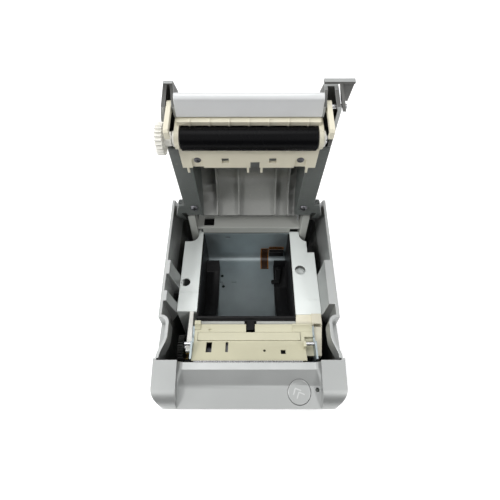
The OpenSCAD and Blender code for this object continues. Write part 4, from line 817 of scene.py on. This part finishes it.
screw_tree, screw_in, screw_out = new_tree("cross_screws", [
    ("Axis", "NodeSocketVector", (0, 0, 1)), ("Recess width", "NodeSocketFloat", RECESS_WIDTH),
    ("Recess length", "NodeSocketFloat", RECESS_LENGTH), ("Recess depth", "NodeSocketFloat", RECESS_DEPTH),
    ("Seed", "NodeSocketInt", SCREW_SEED)])
head_ball = node(screw_tree, "GeometryNodeMeshUVSphere")
head_ball.inputs["Segments"].default_value = BALL_SIDES
head_ball.inputs["Rings"].default_value = BALL_RINGS
head_ball.inputs["Radius"].default_value = 1.0
upper_half = node(screw_tree, "GeometryNodeMeshCube")
upper_half.inputs["Size"].default_value = HALF_SIZE
lifted = node(screw_tree, "GeometryNodeTransform")
lifted.inputs["Translation"].default_value = (0, 0, 1)
dome = node(screw_tree, "GeometryNodeMeshBoolean", operation="INTERSECT")
recess = node(screw_tree, "GeometryNodeMeshBoolean", operation="DIFFERENCE")
linked(upper_half.outputs["Mesh"], lifted.inputs["Geometry"])
linked(head_ball.outputs["Mesh"], dome.inputs["Mesh 2"])
linked(lifted.outputs["Geometry"], dome.inputs["Mesh 2"])
linked(dome.outputs["Mesh"], recess.inputs["Mesh 1"])
bar_low = node(screw_tree, "ShaderNodeMath", operation="SUBTRACT")
bar_low.inputs[0].default_value = BAR_HEIGHT
linked(screw_in["Recess depth"], bar_low.inputs[1])
for along in (0, 1):
    bar_size = node(screw_tree, "ShaderNodeCombineXYZ")
    bar = node(screw_tree, "GeometryNodeMeshCube")
    bar_place = node(screw_tree, "ShaderNodeCombineXYZ")
    bar_up = node(screw_tree, "GeometryNodeTransform")
    bar_size.inputs["Z"].default_value = BAR_HEIGHT
    linked(screw_in["Recess length"], bar_size.inputs[along])
    linked(screw_in["Recess width"], bar_size.inputs[1 - along])
    linked(bar_size.outputs["Vector"], bar.inputs["Size"])
    linked(bar_low.outputs["Value"], bar_place.inputs["Z"])
    linked(bar.outputs["Mesh"], bar_up.inputs["Geometry"])
    linked(bar_place.outputs["Vector"], bar_up.inputs["Translation"])
    linked(bar_up.outputs["Geometry"], recess.inputs["Mesh 2"])
seated = node(screw_tree, "GeometryNodeInstanceOnPoints")
upright = node(screw_tree, "FunctionNodeAlignRotationToVector", axis="Z")
own_scale = node(screw_tree, "GeometryNodeInputNamedAttribute", data_type="FLOAT_VECTOR")
own_scale.inputs["Name"].default_value = "piece_scale"
by_chance = node(screw_tree, "FunctionNodeRandomValue", data_type="FLOAT")
by_chance.inputs["Max"].default_value = math.pi / 2
turn = node(screw_tree, "ShaderNodeCombineXYZ")
turned = node(screw_tree, "GeometryNodeRotateInstances")
linked(screw_in["Geometry"], seated.inputs["Points"])
linked(recess.outputs["Mesh"], seated.inputs["Instance"])
linked(screw_in["Axis"], upright.inputs["Vector"])
linked(upright.outputs["Rotation"], seated.inputs["Rotation"])
linked(own_scale.outputs["Attribute"], seated.inputs["Scale"])
linked(screw_in["Seed"], by_chance.inputs["Seed"])
linked(by_chance.outputs[1], turn.inputs["Z"])
linked(turn.outputs["Vector"], turned.inputs["Rotation"])
linked(seated.outputs["Instances"], turned.inputs["Instances"])
end_tree(screw_tree, turned.outputs["Instances"], screw_out, steel_dark)
print("screw tree made")

# %% [markdown]
# A CAD node holds several screws in one mesh. Its points are sorted into islands, one for each screw, and
# an island gives the screw's foot, radius and height. Typing the places again could go wrong when the solid
# changes. The islands come in the order of the points, so each screw keeps its turn from run to run.


# %% Screw heads
def islands(cad_node):
    work = copied_solid(cad_node)
    left, found = set(work.verts), []
    for first in work.verts:
        if first not in left:
            continue
        left.remove(first)
        group, waiting = [], [first]
        while waiting:
            vert = waiting.pop()
            group.append(vert.co.copy())
            for link in vert.link_edges:
                other = link.other_vert(vert)
                if other in left:
                    left.remove(other)
                    waiting.append(other)
        found.append(group)
    work.free()
    return found


def screw_heads(name, cad_node, axis):
    places, sizes = [], []
    for group in islands(cad_node):
        along = [p.dot(axis) for p in group]
        centre = sum(group, Vector()) / len(group)
        radius = max((p - centre - axis * (p - centre).dot(axis)).length for p in group)
        places.append(centre + axis * (min(along) - centre.dot(axis)))
        sizes.append((radius, radius, max(along) - min(along)))
    values = {"Axis": axis, "Recess width": RECESS_WIDTH, "Recess length": RECESS_LENGTH,
              "Recess depth": RECESS_DEPTH, "Seed": SCREW_SEED}
    grown(name, places, screw_tree, values, body_of_node[cad_node], [cad_node],
          scales=sizes)


lid_face = SHUT.transposed() @ Vector((0, 0, -1))
screw_heads("lid_screw_heads", "lid_screws", lid_face)
screw_heads("base_screw_heads", "base_screws", Vector((0, 0, -1)))

# %% [markdown]
# ## Contacts in the rear sockets
# Each socket at the back has its contacts: nine pins in two rows, six flat wires, four strips on a tongue
# and three round pins. They are all thin bars with a tapered end that point to the rear, so one tree sets
# them all, with the thickness and the length of each kept on its point.

# %% Contacts
PIN_SIDES, PIN_TIP = 12, 0.12
TO_REAR = (0, 1, 0)

pin_tree, pin_in, pin_out = new_tree("contact_pins", [
    ("Sides", "NodeSocketInt", PIN_SIDES), ("Tip", "NodeSocketFloat", PIN_TIP)])
pin_bar = node(pin_tree, "GeometryNodeMeshCylinder", fill_type="NGON")
pin_bar.inputs["Radius"].default_value = 0.5
pin_bar.inputs["Depth"].default_value = 1.0
pin_tip = node(pin_tree, "GeometryNodeMeshCone", fill_type="NGON")
pin_tip.inputs["Radius Top"].default_value = 0.25
pin_tip.inputs["Radius Bottom"].default_value = 0.5
pin_tip_up = node(pin_tree, "GeometryNodeTransform")
pin_tip_up.inputs["Translation"].default_value = (0, 0, 0.5)
pin_whole = node(pin_tree, "GeometryNodeJoinGeometry")
pin_set = node(pin_tree, "GeometryNodeInstanceOnPoints")
pin_way = node(pin_tree, "FunctionNodeAlignRotationToVector", axis="Z")
pin_way.inputs["Vector"].default_value = TO_REAR
pin_scale = node(pin_tree, "GeometryNodeInputNamedAttribute", data_type="FLOAT_VECTOR")
pin_scale.inputs["Name"].default_value = "piece_scale"
linked(pin_in["Sides"], pin_bar.inputs["Vertices"])
linked(pin_in["Sides"], pin_tip.inputs["Vertices"])
linked(pin_in["Tip"], pin_tip.inputs["Depth"])
linked(pin_tip.outputs["Mesh"], pin_tip_up.inputs["Geometry"])
linked(pin_bar.outputs["Mesh"], pin_whole.inputs["Geometry"])
linked(pin_tip_up.outputs["Geometry"], pin_whole.inputs["Geometry"])
linked(pin_in["Geometry"], pin_set.inputs["Points"])
linked(pin_whole.outputs["Geometry"], pin_set.inputs["Instance"])
linked(pin_way.outputs["Rotation"], pin_set.inputs["Rotation"])
linked(pin_scale.outputs["Attribute"], pin_set.inputs["Scale"])
end_tree(pin_tree, pin_set.outputs["Instances"], pin_out, brass_turned)


print("contact tree made")

# %% [markdown]
# Each socket has its own row in a table: where its contacts stand from its middle, how far the middle of a
# contact lies behind the socket's face, and how thick, tall and long it is. A row is easier to check
# against a drawing of the socket than points in space.

# %% Contacts in their sockets
SOCKET_PINS_MM = {
    "drawer_socket": ([(x, -0.6) for x in (-3.2, -1.92, -0.64, 0.64, 1.92, 3.2)], 7, (0.5, 0.5, 8)),
    "usb_socket": ([(x, z) for x in (-1.25, 1.25) for z in (-1.65, 1.65)], 6, (0.9, 0.3, 7.5)),
    "serial_socket": ([(x, 1.42) for x in (-5.54, -2.77, 0, 2.77, 5.54)] +
                      [(x, -1.42) for x in (-4.16, -1.39, 1.39, 4.16)], 3, (1.0, 1.0, 4.4)),
    "power_inlet": ([(-2, 1.2), (2, 1.2), (0, -2.2)], 4.6, (1.3, 1.3, 5.5)),
}


def middle_of(cad_node):
    low_corner, high_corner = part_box(cad_node)
    return (low_corner + high_corner) / 2, high_corner.y


pins, pin_sizes = [], []
for socket, (offsets, back, size) in SOCKET_PINS_MM.items():
    centre, face_y = middle_of(socket)
    for x, z in offsets:
        pins.append(Vector((centre.x + x * MM, face_y - back * MM, centre.z + z * MM)))
        pin_sizes.append([length * MM for length in size])
grown("socket_contacts", pins, pin_tree, {"Sides": PIN_SIDES, "Tip": PIN_TIP}, "base",
      scales=pin_sizes)
print("contacts:", len(pins))

# %% [markdown]
# ## Sensor flex
# The paper sensor hangs on a flexible printed strip. Its amber film shows only along the edges: the copper
# and its dark cover fill the middle. The visible face is inset by the width of that border, and the middle
# gets the darker finish.

# %% Sensor flex
FLEX_BORDER_MM = 0.9
SEEN_WAY, SEEN_LEAST = Vector((0, -0.6, 0.8)), 0.3
flex_work = copied_solid("sensor_flex")
flex_front = [f for f in flex_work.faces if f.normal.dot(SEEN_WAY) > SEEN_LEAST]
bmesh.ops.inset_region(flex_work, faces=flex_front, thickness=FLEX_BORDER_MM * MM, use_boundary=True,
                       use_even_offset=True)
for face in flex_front:
    if face.is_valid:
        face.material_index = 1
finished_piece("dressed_sensor_flex", flex_work, [flex_amber, flex_brown], body_of_node["sensor_flex"],
               ["sensor_flex"], smooth=False)
print("flex faces in the middle:", len(flex_front))

# %% [markdown]
# ## Raised marks
# The feed button carries two raised chevrons and the power rocker the usual bar and ring. Text objects or
# an image could draw them, but a raised line needs a body. Each mark is a thin strip laid along a few
# points and dropped onto the piece below it, so that it follows the bent top of the button.

# %% Mark strips
MARK_SUNK_MM = 0.3
CAST_FROM = 0.02
STRIP_SIDES = ((0, 2), (2, 3), (3, 1), (1, 0))


def raised_mark(name, cad_node, strokes, width_mm, proud_mm, down, finish):
    surface = BVHTree.FromObject(dressed[cad_node], bpy.context.evaluated_depsgraph_get())
    work = bmesh.new()
    for points, closed in strokes:
        rows = []
        count = len(points)
        for i, point in enumerate(points):
            before = points[(i - 1) % count if closed else max(i - 1, 0)]
            after = points[(i + 1) % count if closed else min(i + 1, count - 1)]
            side = (after - before).cross(down).normalized() * width_mm * MM / 2
            row = []
            for shift in (-side, side):
                hit = surface.ray_cast(point + shift - down * CAST_FROM, down)[0]
                row.append(work.verts.new(hit - down * proud_mm * MM))
                row.append(work.verts.new(hit + down * MARK_SUNK_MM * MM))
            rows.append(row)
        for a, b in zip(rows, rows[1:] + rows[:1] if closed else rows[1:]):
            for i, j in STRIP_SIDES:
                work.faces.new((a[i], a[j], b[j], b[i]))
        if not closed:
            for row in (rows[0], rows[-1]):
                work.faces.new((row[0], row[2], row[3], row[1]))
    bmesh.ops.recalc_face_normals(work, faces=work.faces)
    piece = finished_piece(name, work, [finish], body_of_node[cad_node])
    print(name, "faces", len(piece.data.polygons))


print("mark strips are sunk by", MARK_SUNK_MM, "mm")

# %% [markdown]
# The chevrons point to the rear left, as an arrow for the paper's way would. On the rocker, the bar above
# means on and the ring below means off. Their points are given from the middle of the piece that carries
# them.

# %% Raised marks
STROKE_STEPS, BAR_STEPS, RING_STEPS = 10, 4, 28
CHEVRON_ARMS = (math.radians(-20), math.radians(-110))
CHEVRON_TIPS_MM, CHEVRON_ARM_MM = ((-3.0, 2.6), (-0.4, 0.0)), 4.6
RING_R_MM, BAR_MM, MARK_RISE_MM = 1.5, 3.2, 4.2
button_middle = middle_of("feed_button")[0]
rocker_middle = middle_of("power_rocker")[0]


def chevron(x_mm, y_mm):
    tip = button_middle + Vector((x_mm, y_mm, 0)) * MM
    arms = [Vector((math.cos(a), math.sin(a), 0)) * CHEVRON_ARM_MM * MM for a in CHEVRON_ARMS]
    return [tip + arms[0] * (1 - i / STROKE_STEPS) for i in range(STROKE_STEPS)] + [
        tip + arms[1] * i / STROKE_STEPS for i in range(STROKE_STEPS + 1)]


def on_ring(i):
    a = math.tau * i / RING_STEPS
    return Vector((RING_R_MM * math.cos(a), 0, RING_R_MM * math.sin(a) - MARK_RISE_MM))


feed_strokes = [(chevron(*tip), False) for tip in CHEVRON_TIPS_MM]
raised_mark("feed_mark", "feed_button", feed_strokes, width_mm=0.9, proud_mm=0.22, down=Vector((0, 0, -1)),
            finish=mark_silver)

bar_rises = [MARK_RISE_MM + BAR_MM * (i / BAR_STEPS - 0.5) for i in range(BAR_STEPS + 1)]
on_bar = [rocker_middle + Vector((0, 0, rise)) * MM for rise in bar_rises]
off_ring = [rocker_middle + on_ring(i) * MM for i in range(RING_STEPS)]
raised_mark("power_marks", "power_rocker", [(on_bar, False), (off_ring, True)], width_mm=0.5, proud_mm=0.06,
            down=Vector((0, -1, 0)), finish=nylon_white)

# %% [markdown]
# ## Rear connectors
# The serial connector is a pressed steel shell with slanting ends, filled by a black insert that holds the
# pins. The shell could be a lathe form, but its outline has four arcs joined by straight lines, so it is
# drawn once and extruded twice: outwards for the shell and a little less for the insert. The USB socket
# gets its white tongue, a rounded bar.

# %% Rear connectors
serial_low, serial_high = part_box("serial_socket")
serial_middle = (serial_low + serial_high) / 2
SHELL_HALF_W, SHELL_HALF_H, SHELL_SLANT, SHELL_R, SHELL_WALL = 9.0, 4.05, 1.3, 2.0, 0.7
PANEL_MM, SHELL_OUT_MM, INSERT_DEEP_MM = 87.35, serial_high.y / MM, 4.2
SHELL_BACK_MM, INSERT_BACK_MM = PANEL_MM - 1, PANEL_MM - 0.9
CORNER_STEPS, CORNER_STEP = 6, 15


def d_outline(inset):
    corners = ((1, 1, 0), (-1, 1, 90), (-1, -1, 180), (1, -1, 270))
    points = []
    for x_way, z_way, start in corners:
        across_half = SHELL_HALF_W - (SHELL_SLANT if z_way < 0 else 0)
        centre_x, centre_z = x_way * (across_half - SHELL_R), z_way * (SHELL_HALF_H - SHELL_R)
        for i in range(CORNER_STEPS + 1):
            a = math.radians(start + CORNER_STEP * i)
            points.append((centre_x + (SHELL_R - inset) * math.cos(a),
                           centre_z + (SHELL_R - inset) * math.sin(a)))
    return points


def d_ring(work, inset, y_mm):
    return [work.verts.new((serial_middle.x + x * MM, y_mm * MM, serial_middle.z + z * MM))
            for x, z in d_outline(inset)]


shell_work = bmesh.new()
shell_rings = [d_ring(shell_work, 0, SHELL_BACK_MM), d_ring(shell_work, 0, SHELL_OUT_MM),
               d_ring(shell_work, SHELL_WALL, SHELL_OUT_MM), d_ring(shell_work, SHELL_WALL, SHELL_BACK_MM)]
joined_rings(shell_work, shell_rings + shell_rings[:1])
flange = bmesh.ops.create_cube(shell_work, size=1)["verts"]
flange_high = Vector((serial_high.x, PANEL_MM * MM, serial_high.z))
for vert in flange:
    vert.co = (serial_low + flange_high) / 2 + vert.co * (flange_high - serial_low)
bmesh.ops.recalc_face_normals(shell_work, faces=shell_work.faces)
finished_piece("serial_shell", shell_work, [sheet_zinc], "base", ["serial_socket"])

insert_work = bmesh.new()
insert_rings = [d_ring(insert_work, SHELL_WALL, INSERT_BACK_MM),
                d_ring(insert_work, SHELL_WALL, SHELL_OUT_MM - INSERT_DEEP_MM)]
joined_rings(insert_work, insert_rings)
for ring in insert_rings:
    insert_work.faces.new(ring)
bmesh.ops.recalc_face_normals(insert_work, faces=insert_work.faces)
finished_piece("serial_insert", insert_work, [plastic_black], "base")

TONGUE_HALF_W_MM, TONGUE_HALF_H_MM, TONGUE_Y_MM, TONGUE_ROUND_MM = 2.8, 1.6, (-12, -1.5), 0.3
usb_middle, usb_face = middle_of("usb_socket")
tongue_mm = [c / MM for c in (usb_middle.x, usb_face, usb_middle.z)]
tongue_low, tongue_high = [
    (tongue_mm[0] + side * TONGUE_HALF_W_MM, tongue_mm[1] + y, tongue_mm[2] + side * TONGUE_HALF_H_MM)
    for side, y in zip((-1, 1), TONGUE_Y_MM)]
tongue_work = box_cutter(tongue_low, tongue_high)
round_edges(tongue_work, TONGUE_ROUND_MM * MM)
finished_piece("usb_tongue", tongue_work, [nylon_white], "base")
print("connectors: serial_shell, serial_insert, usb_tongue")

# %% [markdown]
# ## Pieces that keep their CAD shape
# Sheet metal, turned pins and boards have crisp edges in real life too, so those nodes stay as they are and
# only get their finish. They could be copied and rounded too, but nobody would see it.

# %% Finishes on the nodes that stay
for cad_node, finish in {
    "mechanism_frame": sheet_zinc, "rear_panel": sheet_zinc, "usb_socket": sheet_zinc,
    "hinge_pins": brass_turned, "motor_pinion": brass_turned, "tear_bar": steel_bright,
    "catch_studs": steel_bright, "idler_stud": steel_bright, "motor_shaft": steel_bright,
    "platen_shaft": steel_bright, "latch_shaft": steel_bright, "feed_motor": steel_dark,
    "head_leaf_spring": steel_dark, "main_board": board_green, "front_board": board_green,
    "feed_switch": plastic_black, "status_lamp": lamp_dark,
}.items():
    mesh = frame["nodes"][cad_node].data
    mesh.materials.clear()
    mesh.materials.append(finish)
print("nodes kept:", sum(not o.hide_render for o in frame["nodes"].values()))
